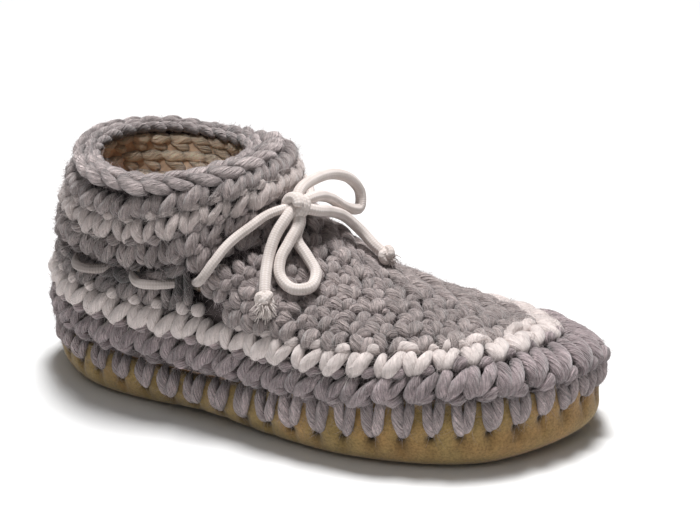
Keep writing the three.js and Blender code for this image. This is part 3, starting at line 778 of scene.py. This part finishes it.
def nearness(points, place, reach, fade):
    """1 next to a place, 0 past the reach."""
    return np.clip((reach - np.linalg.norm(points - place, axis=-1)) / fade, 0, 1)


# Painted shade on the threaded lace, round spots by its eyelets
def shade_lace(piece):
    points = np.zeros(3 * len(piece.data.vertices), np.float32)
    piece.data.vertices.foreach_get("co", points)
    points = points.reshape(-1, 3) / MM
    lace_shade = np.zeros(len(points))
    for spot in LACE_SHADE_SPOTS:
        share = nearness(points, eyelet_point(spot["u"], LACE_OUTSIDE), spot["reach"], spot["fade"])
        lace_shade = np.maximum(lace_shade, spot["depth"] * share)
    set_float(piece, "lace_shade", lace_shade)


knot_piece()
for place, loop in (("front", LOOP_FRONT), ("back", LOOP_BACK)):
    free_cord("bow_loop_" + place, [[KNOT], loop, [KNOT]], "object", [], "lace_loop_" + place)
tip_front = tip_piece("bow_tip_front", END_FRONT, "lace_tip_front", count=130, longest=7.5)
tip_back = tip_piece("bow_tip_back", END_BACK, "lace_tip_back", count=60, longest=4.0)
free_cord("bow_end_front", [[KNOT], END_FRONT], "knot", tip_front, "lace_end_front")
free_cord("bow_end_back", [[KNOT], END_BACK], "knot", tip_back, "lace_end_back")
lace_threaded = cord_piece("lace_threaded", smooth_route(lace_route()), LACE_RADIUS)
finish_piece(lace_threaded, "cotton", "lace_band")
shade_lace(lace_threaded)

# Stitches
RINGS = 11  # along a strand
ROW_MARGIN = 0.05  # how far a row is worked out past its ends
ROW_SAMPLES = 500
JITTER = np.array([0.035, 0.03, 0.25])  # unevenness of the stitches: across, up, off
FATNESS = {"least": 0.8, "most": 1.5}  # heights of a row, in pale rounds, that its strands follow
FAT = 0.6  # how early a strand reaches its full thickness
UNEVEN = 0.1  # spread of the strands' thicknesses
GAP_SHADE = {"reach": 8.0, "fade": 4.0}  # the wool lies in shade round the lace's gaps
GAP_DEPTH = 4.5  # how much deeper it is shaded next to a gap


def strand_shape(shape):
    """Smooth curves through a strand's rows of across, up or down, and off."""
    t = np.linspace(0, 1, RINGS)
    knots = np.linspace(0, 1, len(shape))
    fit = np.polynomial.polynomial.Polynomial.fit
    return [fit(knots, np.array(shape)[:, k], len(shape) - 1)(t) for k in range(3)]


class Row:
    """A row of stitches between two lengths up the wall, from one share of the outline to another."""

    def __init__(self, low, high, start=0.0, end=1.0, count=None):
        self.low, self.high = low, high
        self.u = np.linspace(start - ROW_MARGIN, end + ROW_MARGIN, ROW_SAMPLES)
        path = on_wall(self.u, (low(self.u) + high(self.u)) / 2, 0.0)[0]
        lengths = lengths_along(path)
        begin, stop = np.interp([start, end], self.u, lengths)
        self.count = count or max(1, round((stop - begin) / PITCH))
        self.position = (lengths - begin) / (stop - begin) * self.count

    def lines(self, shape, stitches, jitter=1.0, lean=0.0):
        """Centre lines, normals and heights of one strand of each stitch. shape rows: across, up, off."""
        across, up, off = strand_shape(shape)
        shift = rng.normal(0, jitter, (3, len(stitches), 1)) * JITTER[:, None, None]
        u = self.share(stitches[:, None] + across + lean * up + shift[0])
        low, high = self.low(u), self.high(u)
        level = off + shift[2]
        return (*on_wall(u, low + (up + shift[1]) * (high - low), level), level)

    def share(self, stitches):
        """Shares of the outline at places counted in stitches."""
        return np.interp(stitches, self.position, self.u)

    def fatness(self, stitches):
        """Thickness of each stitch's strands, more where the row is tall."""
        u = self.share(stitches[:, None] + 0.5)
        tall = (self.high(u) - self.low(u)) / STRIPE_HALF / 2
        return np.clip(tall, FATNESS["least"], FATNESS["most"]) ** 0.5


def strand_radius(count, radius, end):
    """Radii along strands that narrow towards their ends."""
    t = np.linspace(0, 1, RINGS)
    profile = end + (1 - end) * np.sin(math.pi * t) ** FAT
    return radius * profile * (1 + UNEVEN * rng.normal(0, 1, (count, 1)))


def joined(parts):
    """Centre lines, normals, radii and heights of many strands, each in one array."""
    return [np.concatenate(values) for values in zip(*parts)]


class Strands:
    """Collects strands of one look, to become one joined piece."""

    def __init__(self, name, material, slot="wool"):
        self.name, self.material, self.slot = name, material, slot
        self.parts = []

    def add(self, lines, radius, end=0.4):
        """Strands along lines, with a radius as a share of a usual strand's and narrowed ends."""
        centre, normal, level = lines
        self.parts.append((centre, normal, strand_radius(len(centre), radius * STRAND, end), level))

    def piece(self):
        centre, normal, radius, level = joined(self.parts)
        for u in EYELET_PLACES:
            level = level - GAP_DEPTH * nearness(centre, eyelet_point(u, 0.0), **GAP_SHADE)
        return finish_piece(strand_piece(self.name, centre, normal, radius, self.material, level), self.slot)


foot_grey = Strands("stitches_foot", DARK)
foot_pale = Strands("stitches_foot_pale", PALE)
vamp = Strands("stitches_vamp", GREY)
collar_grey = Strands("stitches_collar", GREY)
collar_pale = Strands("stitches_collar_pale", ANKLE_PALE)
rim = Strands("stitches_rim", RIM_GREY)
inner = Strands("stitches_inner", INNER)

# The strands of a stitch, in rows of across, up and off
LEFT_LEG = [(0.33, 0.0, -3.8), (0.23, 0.29, -1.4), (0.2, 0.67, -1.4), (0.3, 1.0, -4.0)]
RIGHT_LEG = [(0.4, -0.02, -3.6), (0.54, 0.24, -0.9), (0.74, 0.62, -0.9), (0.97, 0.98, -3.8)]
TOP_LOOP = [(0.64, 0.0, -4.0), (0.84, 0.09, -1.3), (1.04, 0.07, -4.0)]
TOP_THINNER = 0.92  # thickness of a top loop, against the legs
LEAN = 0.5  # how far a stitch leans along its row
TOE_LEAN = 0.1  # more lean at the toe


def toe_share(u):
    """1 at the toe, 0 at the sides and heel."""
    return np.clip((TOE["reach"] - from_front(u)) / TOE["fade"], 0, 1)


def crochet(row, strands, top_loops, radius=1.0, jitter=1.5):
    """V stitches along a row, and between them the top loops of the row below."""
    stitches = np.arange(row.count)
    fat = radius * row.fatness(stitches)
    lean = LEAN + TOE_LEAN * toe_share(row.share(stitches + 0.5))[:, None]
    strands.add(row.lines(LEFT_LEG, stitches, jitter, lean), fat)
    strands.add(row.lines(RIGHT_LEG, stitches, jitter, lean), fat)
    top_loops.add(row.lines(TOP_LOOP, stitches, jitter, lean), TOP_THINNER * fat, end=0.5)


FOOT_COUNT = 46  # stitches in a round of the foot
FIRST_HEIGHT = 12.5
FIRST_GAP = 0.5  # between the first round and the pale one
FIRST_ABOVE = 1.0  # between the loops and the first round at the toe
EDGE_LOOP = [(0.5, -0.1, -4.8), (0.8, -0.1, -3.2), (1.1, -0.12, -4.8)]
TOE_TOP_LOOP = [(0.05, 1.0, -3.4), (0.35, 1.2, -0.9), (0.75, 1.18, -0.9), (1.1, 0.98, -3.4)]
TOE_TOP_LOOPS = np.array([17, 19, 20, 22, 23, 24, 26])  # stitches with a large loop on top
VAMP_SAMPLES = 400
LOWEST_ROUND = 0.6  # height of a cut-off round over the forefoot, as a share of a whole one


def loop_top(u):
    """Where the first round starts, above or below the suede edge."""
    return LOOP_TOP["slope"] * (section_at(u)["tip"] - LOOP_TOP["tip"])


def pale_low(u):
    return section_at(u)["stripe"] - STRIPE_HALF


def pale_high(u):
    return section_at(u)["stripe"] + STRIPE_HALF


def first_high(u):
    return pale_low(u) - FIRST_GAP


def first_low(u):
    """Bottom of the first round: taller at the toe, where it reaches down to the loops."""
    share = toe_share(u)
    return (1 - share) * (first_high(u) - FIRST_HEIGHT) + share * (loop_top(u) + FIRST_ABOVE)


def vamp_rows():
    """Rows over the forefoot, above the pale round, that end at the ankle."""
    u = np.linspace(EYELET_ZONE, 1 - EYELET_ZONE, VAMP_SAMPLES)
    least = LOWEST_ROUND * ROUND_HEIGHT
    level = 0
    while True:
        def low(at, level=level):
            return pale_high(at) + ROUND_HEIGHT * level

        def high(at, low=low):
            return np.maximum(np.minimum(low(at) + ROUND_HEIGHT, ankle_at(at)), low(at) + least)

        inside = u[low(u) + least < ankle_at(u)]
        if len(inside) == 0:
            return
        below = foot_pale if level == 0 else vamp
        crochet(Row(low, high, inside[0], inside[-1]), vamp, below, radius=1.12, jitter=1.8)
        level += 1


first_round = Row(first_low, first_high, count=FOOT_COUNT)
pale_round = Row(pale_low, pale_high, count=FOOT_COUNT)
crochet(first_round, foot_grey, foot_grey, radius=1.08)
foot_grey.add(first_round.lines(EDGE_LOOP, np.arange(FOOT_COUNT)), radius=0.85, end=0.5)
crochet(pale_round, foot_pale, foot_grey, radius=1.14)
foot_pale.add(pale_round.lines(TOE_TOP_LOOP, TOE_TOP_LOOPS), radius=1.05, end=0.5)
vamp_rows()

# Ankle
COLLAR_COUNT = 30  # stitches in a round of the ankle
CHAIN_COUNT = 21
POST_LEFT = [(-0.22, 0.0, -4.0), (-0.26, 0.32, -2.6), (-0.16, 0.7, -2.6), (0.06, 1.06, -4.2)]
POST_RIGHT = [(-0.14, 0.0, -4.0), (0.1, 0.3, -2.2), (0.34, 0.66, -2.2), (0.56, 1.04, -4.0)]
POST_DOT = [(0.24, 0.04, -4.0), (0.38, 0.16, -1.9), (0.58, 0.24, -4.0)]
POST_LEAN = 0.5
POST_TUCK = 2.5  # how far the tall stitches reach up behind the chain
POST_PITCH = 0.021  # share of the outline between two tall stitches
FRONT_POST_SHIFT = np.array([-0.007, 0.007])  # the first and last stand back from the front gaps
CHAIN_LINK = [(-0.1, 0.70, -4.2), (0.25, 0.46, -1.8), (0.7, 0.44, -1.6), (1.1, 0.66, -4.2)]


def collar_row(name, start=0.0, end=1.0, count=COLLAR_COUNT):
    bottom, top = COLLAR_ROUNDS[name]
    return Row(lambda u: below_rim(u, bottom), lambda u: below_rim(u, top), start, end, count)


def eyelet_row():
    """Tall stitches with gaps for the lace, round the heel, and the chain that lies on their tops."""
    places = []
    for start, end in zip(EYELET_PLACES[:-1], EYELET_PLACES[1:]):
        posts = max(1, round((start - end) / POST_PITCH))
        places.append(start + (end - start) * (np.arange(posts) + 0.5) / posts)
    places = np.concatenate(places)
    places[[0, -1]] += FRONT_POST_SHIFT
    row = Row(
        pale_high, lambda u: below_rim(u, ANKLE_BELOW - POST_TUCK),
        -EYELET_ZONE, EYELET_ZONE, round(2 * EYELET_ZONE * PERIMETER / PITCH),
    )
    stitches = np.interp(places, row.u, row.position)
    for leg in (POST_LEFT, POST_RIGHT):
        vamp.add(row.lines(leg, stitches - POST_LEAN / 2, jitter=0.7, lean=POST_LEAN), radius=0.86)
    foot_pale.add(row.lines(POST_DOT, stitches), radius=1.1, end=0.5)
    chain = collar_row("band", -EYELET_ZONE, EYELET_ZONE, CHAIN_COUNT)
    collar_grey.add(chain.lines(CHAIN_LINK, np.arange(chain.count)), radius=0.9)


crochet(collar_row("band", EYELET_ZONE, 1 - EYELET_ZONE, None), collar_grey, collar_grey)
crochet(collar_row("lower"), collar_grey, collar_grey)
crochet(collar_row("pale"), collar_pale, collar_grey)
crochet(collar_row("upper"), collar_grey, collar_pale)
eyelet_row()

RIM_LINKS = 26
RIM_HALF = 4.0  # half the height of the chain on the rim
LINK_OUTSIDE = [(-0.05, 0.52, -4.8), (0.3, 0.40, -2.2), (0.8, 0.12, -1.6), (1.22, -0.02, -4.2)]
LINK_INSIDE = [(-0.2, 0.3, -10.2), (0.25, 0.5, -9.4), (0.75, 0.5, -8.4), (1.2, 0.4, -7.4)]
LINK_MIDDLE = [(-0.2, 0.32, -6.4), (0.25, 0.56, -6.0), (0.75, 0.58, -5.6), (1.2, 0.44, -5.6)]
LINK_LEVEL = -1.3  # shading height of the links on top of the rim
INNER_LEVELS = (7.5, 18.0, 28.5, 39.5, 50.5, 61.5, 72.0, 82.0)  # down from the rim
INNER_HALF = 5.0  # half the height of a round inside the ankle
INNER_COUNT = 26
INNER_SHADE = 1.6  # how much deeper the inside is shaded
INNER_BAR = [(-0.04, 0.42, 0.8), (0.3, 0.60, -0.8), (0.66, 0.60, -0.8), (1.02, 0.74, 0.8)]
INNER_LEG = [(0.18, -0.14, 0.8), (0.36, 0.08, -0.2), (0.6, 0.24, -0.2), (0.84, 0.40, 0.8)]


def rim_row(below, half, count):
    """A row at a distance down from the rim, half its height to each side."""
    return Row(lambda u: total_at(u) - below - half, lambda u: total_at(u) - below + half, count=count)


def rim_chain():
    """Chain links that lie over the rim."""
    row = rim_row(0.0, RIM_HALF, RIM_LINKS)
    links = np.arange(row.count)
    rim.add(row.lines(LINK_OUTSIDE, links, jitter=0.7), radius=1.06, end=0.28)
    for shape in (LINK_INSIDE, LINK_MIDDLE):
        centre, normal, level = row.lines(shape, links, jitter=0.7)
        rim.add((centre, normal, np.full_like(level, LINK_LEVEL)), radius=0.95, end=0.6)


def inner_rows():
    """Backs of the stitches inside the ankle: fat bars that lie along the rounds."""
    for below in INNER_LEVELS:
        row = rim_row(below, INNER_HALF, INNER_COUNT)
        bars = np.arange(row.count) + 0.5 * (below % 2)
        for shape, radius, end in ((INNER_BAR, 1.0, 0.45), (INNER_LEG, 0.85, 0.5)):
            centre, normal, level = row.lines(np.array(shape) + [0, 0, INNER_OFF], bars)
            inner.add((centre, -normal, INNER_OFF - level - INNER_SHADE), radius, end)


rim_chain()
inner_rows()

# Wool behind the stitches, with the eyelet gaps left open
CORE_ACROSS = 256
CORE_UP = 60
CORE_BELOW = 1.0  # its top lies this far below the rim


def core_piece(material):
    u = np.linspace(0, 1, CORE_ACROSS, endpoint=False)
    uu, share = np.meshgrid(u, np.linspace(0, 1, CORE_UP + 1), indexing="ij")
    length = share * (total_at(uu) - CORE_BELOW)
    outside = on_wall(uu, length, CORE_OFF)[0]
    inside = on_wall(uu, length, CORE_OFF - CORE_THICKNESS)[0]
    i, j = np.meshgrid(np.arange(CORE_ACROSS), np.arange(CORE_UP), indexing="ij")
    after = (i + 1) % CORE_ACROSS
    gaps = np.array([eyelet_point(place, CORE_OFF) for place in EYELET_PLACES])
    centres = (outside[i, j] + outside[after, j + 1]) / 2
    kept = np.linalg.norm(centres[:, :, None] - gaps, axis=-1).min(axis=-1) > EYELET_RADIUS
    number = np.arange(uu.size).reshape(uu.shape)
    out_faces = np.stack([number[i, j], number[after, j], number[after, j + 1], number[i, j + 1]], -1)[kept]
    in_faces = out_faces[:, ::-1] + number.size
    edges = np.concatenate([out_faces[:, [k, (k + 1) % 4]] for k in range(4)])
    reverse = set(map(tuple, edges[:, ::-1]))
    border = np.array([edge for edge in map(tuple, edges) if edge not in reverse])
    rims = np.concatenate([border[:, ::-1], border + number.size], axis=1)
    used = np.unique(np.concatenate([out_faces.ravel(), in_faces.ravel()]))
    renumber = np.zeros(2 * number.size, int)
    renumber[used] = np.arange(len(used))
    faces = renumber[np.concatenate([out_faces, in_faces, rims])]
    vertices = np.concatenate([outside.reshape(-1, 3), inside.reshape(-1, 3)])[used]
    piece = new_piece("upper_core", vertices, [faces], material)
    below_top = (total_at(uu) - length > CORE_TOP).ravel()
    set_float(piece, "inside", np.concatenate([np.zeros(number.size), below_top])[used])
    # Painted shade round the lace's gaps
    set_float(piece, "gap", np.max([nearness(vertices, gap, **CORE_GAP) for gap in gaps], axis=0))
    finish_piece(piece, "wool", "upper")


def core_material():
    """Wool behind the stitches, with painted shade: grey outside, tan inside, dark at the gaps."""
    shader = Shader("wool_core", roughness=1.0, sheen=0.1)
    lumps = shader.noise(260.0)
    outside, inside = shader.ramp(lumps, CORE_OUTSIDE), shader.ramp(lumps, CORE_INSIDE)
    tone = shader.mix(shader.attribute("inside"), outside, inside)
    tone = shader.mix(shader.attribute("gap"), tone, CORE_DARK)
    return shader.finish(tone, shader.bump(lumps, strength=0.8, distance=0.002))


core_piece(core_material())

# Suede sole and insole
SOLE_ACROSS = 12 * LOOP_COUNT
LOOP_PITCH = PERIMETER / LOOP_COUNT
HOLE_SIZE = 1.5
HOLE_DEPTH = 1.8
HOLE_BELOW = 1.6  # how far a pierced hole lies below its loop's tip
HOLE_ASIDE = 1.0  # and to its side
EDGE_SHADE = {"depth": 0.85, "start": -2.0, "fade": 3.0}  # painted shadow on the suede under the first round
# Forms round each loop's tip: depth, width, height, and how far they lie above the tip
PUCKER = {"depth": 1.1, "width": 1.9, "height": 4.5, "above": -5.0}
SWELL = {"depth": 0.7, "height": 6.0, "above": 3.0}
SMUDGE = {"depth": 0.75, "width": 3.4, "height": 4.0, "above": -4.5}
WANDER = {"depth": 0.25, "round": 9, "up": 0.35, "twist": 6}  # slow unevenness above the tread
HOLE_TONE = {"gain": 1.4, "power": 1.5}  # painted shade: dark in the middle of a hole, with a short fade
FOOT_ROWS = 12  # rows of points up the suede's rounded foot
SIDE_ROWS = 16  # and up its side
SIDE_START = 0.06
CUT_EDGE = {"inset": 0.35 * SUEDE, "rise": 0.25, "fall": 0.4}  # rounding of the suede's cut edge
BED_CORNER = {"inset": 3.0, "height": 3.5}  # rounding inside the cup, past the suede's own thickness
INSOLE_ACROSS = 240
INSOLE_PROFILE = [(0.6, 0.0), (0.0, 0.8), (0.0, 2.2), (0.5, 2.8), (1.6, 3.0)]  # inset, height
PLATE_STRIPS = 14


def tread_height(x):
    in_arch = np.clip((x - ARCH["start"]) / (ARCH["end"] - ARCH["start"]), 0, 1)
    in_toe = np.maximum((x - TOE_SPRING["start"]) / (TOE_SPRING["end"] - TOE_SPRING["start"]), 0)
    return ARCH["rise"] * np.sin(math.pi * in_arch) ** 2 + TOE_SPRING["rise"] * in_toe**2


def on_tread(u, inset, height):
    """Points of the outline, moved in by an inset and set at a height over the tread."""
    points = outline_points(u, inset, 0.0)
    points[..., 2] = tread_height(points[..., 0]) + height
    return points


def suede_inset(height, edge):
    """Inset of the suede's outer face at a height."""
    turn = np.sqrt(1 - (1 - np.minimum(height / SUEDE_SIDE_HEIGHT, 1)) ** 2)
    low = SUEDE_FOOT_INSET - (SUEDE_FOOT_INSET - SUEDE_SIDE_INSET) * turn
    lean = np.maximum(height - SUEDE_SIDE_HEIGHT, 0) / (edge - SUEDE_SIDE_HEIGHT)
    return low + (SUEDE_TOP_INSET - SUEDE_SIDE_INSET) * lean


def sole_outside(u):
    """Rows of points up the suede's side, pulled in at the loops, and their painted shade and dirt."""
    section = section_at(u)
    edge = section["edge"] - CLEARANCE
    round_heights = SUEDE_SIDE_HEIGHT * (1 - np.cos(np.linspace(0, math.pi / 2, FOOT_ROWS)))
    heights = [np.full(len(u), h) for h in round_heights]
    shares = np.linspace(SIDE_START, 1, SIDE_ROWS)
    heights += [SUEDE_SIDE_HEIGHT + (edge - SUEDE_SIDE_HEIGHT) * share for share in shares]
    heights = np.array(heights)
    across = (np.mod(u * LOOP_COUNT, 1) - 0.5) * LOOP_PITCH  # from the nearest loop's tip
    rise = heights - section["tip"]

    def spot(form):
        return np.exp(-((across / form["width"]) ** 2) - ((rise - form["above"]) / form["height"]) ** 2)

    holes_and_shade = np.exp(-((across + HOLE_ASIDE) ** 2 + (rise + HOLE_BELOW) ** 2) / (2 * HOLE_SIZE**2))
    between = 0.5 * (1 - np.cos(2 * math.pi * across / LOOP_PITCH))
    swell = between * np.exp(-((rise - SWELL["above"]) / SWELL["height"]) ** 2)
    wander = np.sin(WANDER["round"] * math.pi * u + 1)
    wander = wander * np.sin(WANDER["up"] * heights + WANDER["twist"] * math.pi * u)
    pull = HOLE_DEPTH * holes_and_shade + PUCKER["depth"] * spot(PUCKER)
    pull = pull - SWELL["depth"] * swell + WANDER["depth"] * wander * (heights > 1)
    points = outline_points(u, suede_inset(heights, edge) + pull, 0.0)
    floor = tread_height(points[..., 0])
    lifted = floor + heights * (1 - floor / SUEDE_SIDE_HEIGHT)
    points[..., 2] = np.where(heights < SUEDE_SIDE_HEIGHT, lifted, heights)
    loop = np.floor(u * LOOP_COUNT).astype(int) % LOOP_COUNT
    smudge = rng.uniform(0.0, SMUDGE["depth"], LOOP_COUNT)[loop] * spot(SMUDGE)
    # Painted shade: dark in each hole and under the first round
    under = (heights - edge - loop_top(u) - EDGE_SHADE["start"]) / EDGE_SHADE["fade"]
    in_hole = HOLE_TONE["gain"] * holes_and_shade ** HOLE_TONE["power"]
    dark = np.maximum(in_hole, EDGE_SHADE["depth"] * np.clip(under, 0, 1))
    return points, np.clip(dark, 0, 1), np.clip(smudge, 0, 1)


def plate_faces(border, start):
    """Points and faces of a plate inside a closed border, laid in strips across it."""
    half = len(border) // 2
    share = np.linspace(0, 1, PLATE_STRIPS + 1)[1:-1]
    left = border[1:half]
    right = border[:half:-1]
    inner_points = left[:, None] + (right - left)[:, None] * share[None, :, None]
    grid = np.zeros((half - 1, PLATE_STRIPS + 1), int)
    grid[:, 0] = np.arange(1, half)
    grid[:, -1] = np.arange(len(border) - 1, half, -1)
    grid[:, 1:-1] = start + np.arange(len(left) * len(share)).reshape(-1, len(share))
    quads = np.stack([grid[:-1, :-1], grid[1:, :-1], grid[1:, 1:], grid[:-1, 1:]], -1).reshape(-1, 4)
    first = np.stack([np.zeros(PLATE_STRIPS, int), grid[0, :-1], grid[0, 1:]], -1)
    last = np.stack([np.full(PLATE_STRIPS, half), grid[-1, 1:], grid[-1, :-1]], -1)
    return inner_points.reshape(-1, 3), quads, np.concatenate([first, last])


def plated_piece(name, rows, under, top, material):
    """A closed piece from rows of points round it, with plates in its first and last row.

    under, top: heights of the plates over the tread.
    """
    across = rows.shape[1]
    number = np.arange(len(rows) * across).reshape(-1, across)
    under_points, under_quads, under_ends = plate_faces(rows[0], number.size)
    top_points, top_quads, top_ends = plate_faces(rows[-1], across)
    for points, height in ((under_points, under), (top_points, top)):
        points[:, 2] = tread_height(points[:, 0]) + height

    def on_top(faces):
        inner_start = number.size + len(under_points)
        return np.where(faces < across, faces + number[-1, 0], faces - across + inner_start)

    quads = np.concatenate([band_faces(number), under_quads[:, ::-1], on_top(top_quads)])
    triangles = np.concatenate([under_ends[:, ::-1], on_top(top_ends)])
    vertices = np.concatenate([rows.reshape(-1, 3), under_points, top_points])
    return new_piece(name, vertices, [quads, triangles], material)


def sole_piece():
    u = np.arange(SOLE_ACROSS) / SOLE_ACROSS
    outside, holes_and_shade, smudge = sole_outside(u)
    edge = section_at(u)["edge"] - CLEARANCE
    inside = np.stack([
        outline_points(u, SUEDE_TOP_INSET + CUT_EDGE["inset"], edge + CUT_EDGE["rise"]),
        outline_points(u, SUEDE_TOP_INSET + SUEDE, edge - CUT_EDGE["fall"]),
        outline_points(u, SUEDE_SIDE_INSET + SUEDE, SUEDE_SIDE_HEIGHT),
        on_tread(u, SUEDE_SIDE_INSET + SUEDE + BED_CORNER["inset"], SUEDE + BED_CORNER["height"]),
        on_tread(u, SUEDE_FOOT_INSET, SUEDE),
    ])
    piece = plated_piece("suede_sole", np.concatenate([outside, inside]), 0.0, SUEDE, SUEDE_LOOK)
    # Painted shade of the holes and under the first round, and dirt
    clean = np.zeros(len(piece.data.vertices) - holes_and_shade.size)
    for name, values in (("holes_and_shade", holes_and_shade), ("smudge", smudge)):
        set_float(piece, name, np.concatenate([values.ravel(), clean]))
    finish_piece(piece, "suede", "outsole")


def insole_piece():
    u = np.arange(INSOLE_ACROSS) / INSOLE_ACROSS
    low = SUEDE + CLEARANCE
    rows = np.array([on_tread(u, INSOLE_INSET + inset, low + height) for inset, height in INSOLE_PROFILE])
    piece = plated_piece("insole_pad", rows, low, low + INSOLE_THICKNESS, INSOLE_LOOK)
    finish_piece(piece, "insole", "insole")


sole_piece()
insole_piece()

# Loops through the suede edge, in rows of across, down and off
LOOP_LEFT = [(-0.23, 0.0, -1.5), (-0.21, 0.33, 1.6), (-0.14, 0.7, 1.7), (-0.03, 1.0, -0.6)]
LOOP_RIGHT = [(0.23, 0.0, -1.5), (0.2, 0.33, 1.8), (0.13, 0.7, 1.8), (0.03, 0.98, -0.6)]
LOOP_LEVEL = -1.8  # added to the loops' height over the suede, for their shading
LOOP_SHADE = 3.0  # their tops lie in the shade of the first round
LOOP_TUCK = 1.6  # how far the loops reach up behind the first round
LOOP_JITTER = 0.03


def loop_lines(shape):
    across, down, off = strand_shape(shape)
    number = np.arange(LOOP_COUNT)[:, None] + 0.5
    shift = rng.normal(0, LOOP_JITTER, (2, LOOP_COUNT, 1))
    u = (number + across + shift[0]) / LOOP_COUNT
    section = section_at(u)
    top = section["edge"] + loop_top(u) + LOOP_TUCK
    height = top + (down + shift[1]) * (section["tip"] - top)
    inset = suede_inset(np.minimum(height, section["edge"]), section["edge"])
    points = outline_points(u, inset - off, height)
    level = off + LOOP_LEVEL - LOOP_SHADE * (1 - down) ** 2
    return points, outward_at(u), np.broadcast_to(level, u.shape)


loops = Strands("edge_loops", EDGE, "edge_wool")
for leg in (LOOP_LEFT, LOOP_RIGHT):
    loops.add(loop_lines(leg), LOOP_STRAND / STRAND)
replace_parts(loops.piece(), "edge_stitches")

for strands in (foot_grey, foot_pale, vamp, collar_grey, collar_pale, rim, inner):
    strands.piece()

# Fuzz: short wool hairs that stand off the strands
HAIR_LENGTH = 4.4
HAIR_VARIES = (0.5, 1.5)  # shares of that length
HAIR_WIDTH = 0.12
HAIR_TAPER = 0.7  # share of its width that a hair loses
HAIR_SEGMENTS = 2
HAIR_ANGLE = 1.9  # how far round a strand from its outside hairs grow
HAIR_LIFT = (0.15, 0.9)  # how steeply a hair stands off
HAIR_SPREAD = 0.3
HAIR_CURL = 0.35
HAIR_DROOP = 0.25
HAIR_ROOT = 0.92  # share of the strand's radius at which a hair starts


def hairs(name, sources, count, material):
    parts = [part for source in sources for part in source.parts]
    centre, normal, radius = joined(parts)[:3]
    tangent = unit(np.gradient(centre, axis=1))
    strand = rng.integers(0, len(centre), count)
    ring = rng.integers(1, RINGS - 1, count)
    angle = rng.uniform(-HAIR_ANGLE, HAIR_ANGLE, count)[:, None]
    along = tangent[strand, ring] * rng.choice([-1, 1], count)[:, None]
    out = normal[strand, ring]
    radial = unit(np.cos(angle) * out + np.sin(angle) * np.cross(along, out))
    root = centre[strand, ring] + radial * radius[strand, ring][:, None] * HAIR_ROOT
    length = HAIR_LENGTH * rng.uniform(*HAIR_VARIES, (count, 1))
    lifted = radial * rng.uniform(*HAIR_LIFT, (count, 1))
    lean = unit(along + lifted + rng.normal(0, HAIR_SPREAD, (count, 3)))
    curl = rng.normal(0, HAIR_CURL, (count, 3)) - HAIR_DROOP * radial
    t = np.linspace(0, 1, HAIR_SEGMENTS + 1)[None, :, None]
    line = root[:, None] + length[:, None] * (t * lean[:, None] + t**2 * curl[:, None])
    side = unit(np.cross(lean, radial))[:, None] * HAIR_WIDTH / 2 * (1 - HAIR_TAPER * t)
    vertices = np.stack([line - side, line + side], axis=2).reshape(-1, 3)
    per_hair = 2 * (HAIR_SEGMENTS + 1)
    base = per_hair * np.arange(count)[:, None] + 2 * np.arange(HAIR_SEGMENTS)
    quads = np.stack([base, base + 1, base + 3, base + 2], -1).reshape(-1, 4)
    finish_piece(new_piece(name, vertices, [quads], material), "wool")


def hair_material(name, colour):
    shader = Shader(name, roughness=0.9, sheen=0.3)
    tones = mottle(shade(colour, 0.8), shade(colour, 1.15))
    return shader.finish(shader.ramp(shader.noise(300.0), tones))


GREY_FUZZ = hair_material("fuzz_grey", srgb(172, 160, 160))
PALE_FUZZ = hair_material("fuzz_pale", srgb(226, 216, 212))
hairs("fuzz_foot", [foot_grey, vamp, loops], 44000, GREY_FUZZ)
hairs("fuzz_collar", [collar_grey, rim], 21000, GREY_FUZZ)
hairs("fuzz_pale", [foot_pale, collar_pale], 14000, PALE_FUZZ)

# Floor and light
FLOOR_SIZE = 6.0
FLOOR_TONE = 0.87
SKY_STRENGTH = 0.11
MIDDLE = (0, 0, 0)
KEY = {"place": (0.0, 0.15, 1.7), "aim": MIDDLE, "energy": 38.5, "size": 0.42, "shape": "SQUARE"}
FILL = {"place": (0.0, -0.7, 1.4), "aim": MIDDLE, "energy": 2.2, "size": 1.0, "shape": "SQUARE"}
# A narrow light over the near rim, on to the far inside of the ankle
INSIDE = {
    "place": (-0.03, -0.35, 0.55), "aim": (-0.075, 0.03, 0.085), "energy": 5.0,
    "spot_size": math.radians(8), "spot_blend": 1.0, "shadow_soft_size": 0.02,
}


def add_floor():
    half = FLOOR_SIZE / 2 / MM
    corners = np.array([[-half, -half, 0], [half, -half, 0], [half, half, 0], [-half, half, 0]])
    shader = Shader("floor", roughness=0.9, sheen=0.0)
    shader.surface.inputs["Base Color"].default_value = grey(FLOOR_TONE)
    floor = new_piece("floor", corners, [np.array([[0, 1, 2, 3]])], shader.material)


def add_light(name, kind, place, aim, **settings):
    data = bpy.data.lights.new(name, kind)
    for setting, value in settings.items():
        setattr(data, setting, value)
    light = bpy.data.objects.new(name, data)
    light.location = place
    light.rotation_euler = (Vector(aim) - Vector(place)).to_track_quat("-Z", "Y").to_euler()
    bpy.context.scene.collection.objects.link(light)


def add_studio():
    world = bpy.data.worlds.new("studio")
    world.use_nodes = True
    background = world.node_tree.nodes["Background"]
    background.inputs["Color"].default_value = grey(1)
    background.inputs["Strength"].default_value = SKY_STRENGTH
    bpy.context.scene.world = world
    add_light("key", "AREA", **KEY)
    add_light("fill", "AREA", **FILL)
    add_light("inside", "SPOT", **INSIDE)
    bpy.context.scene.view_settings.view_transform = "Standard"


add_floor()
add_studio()
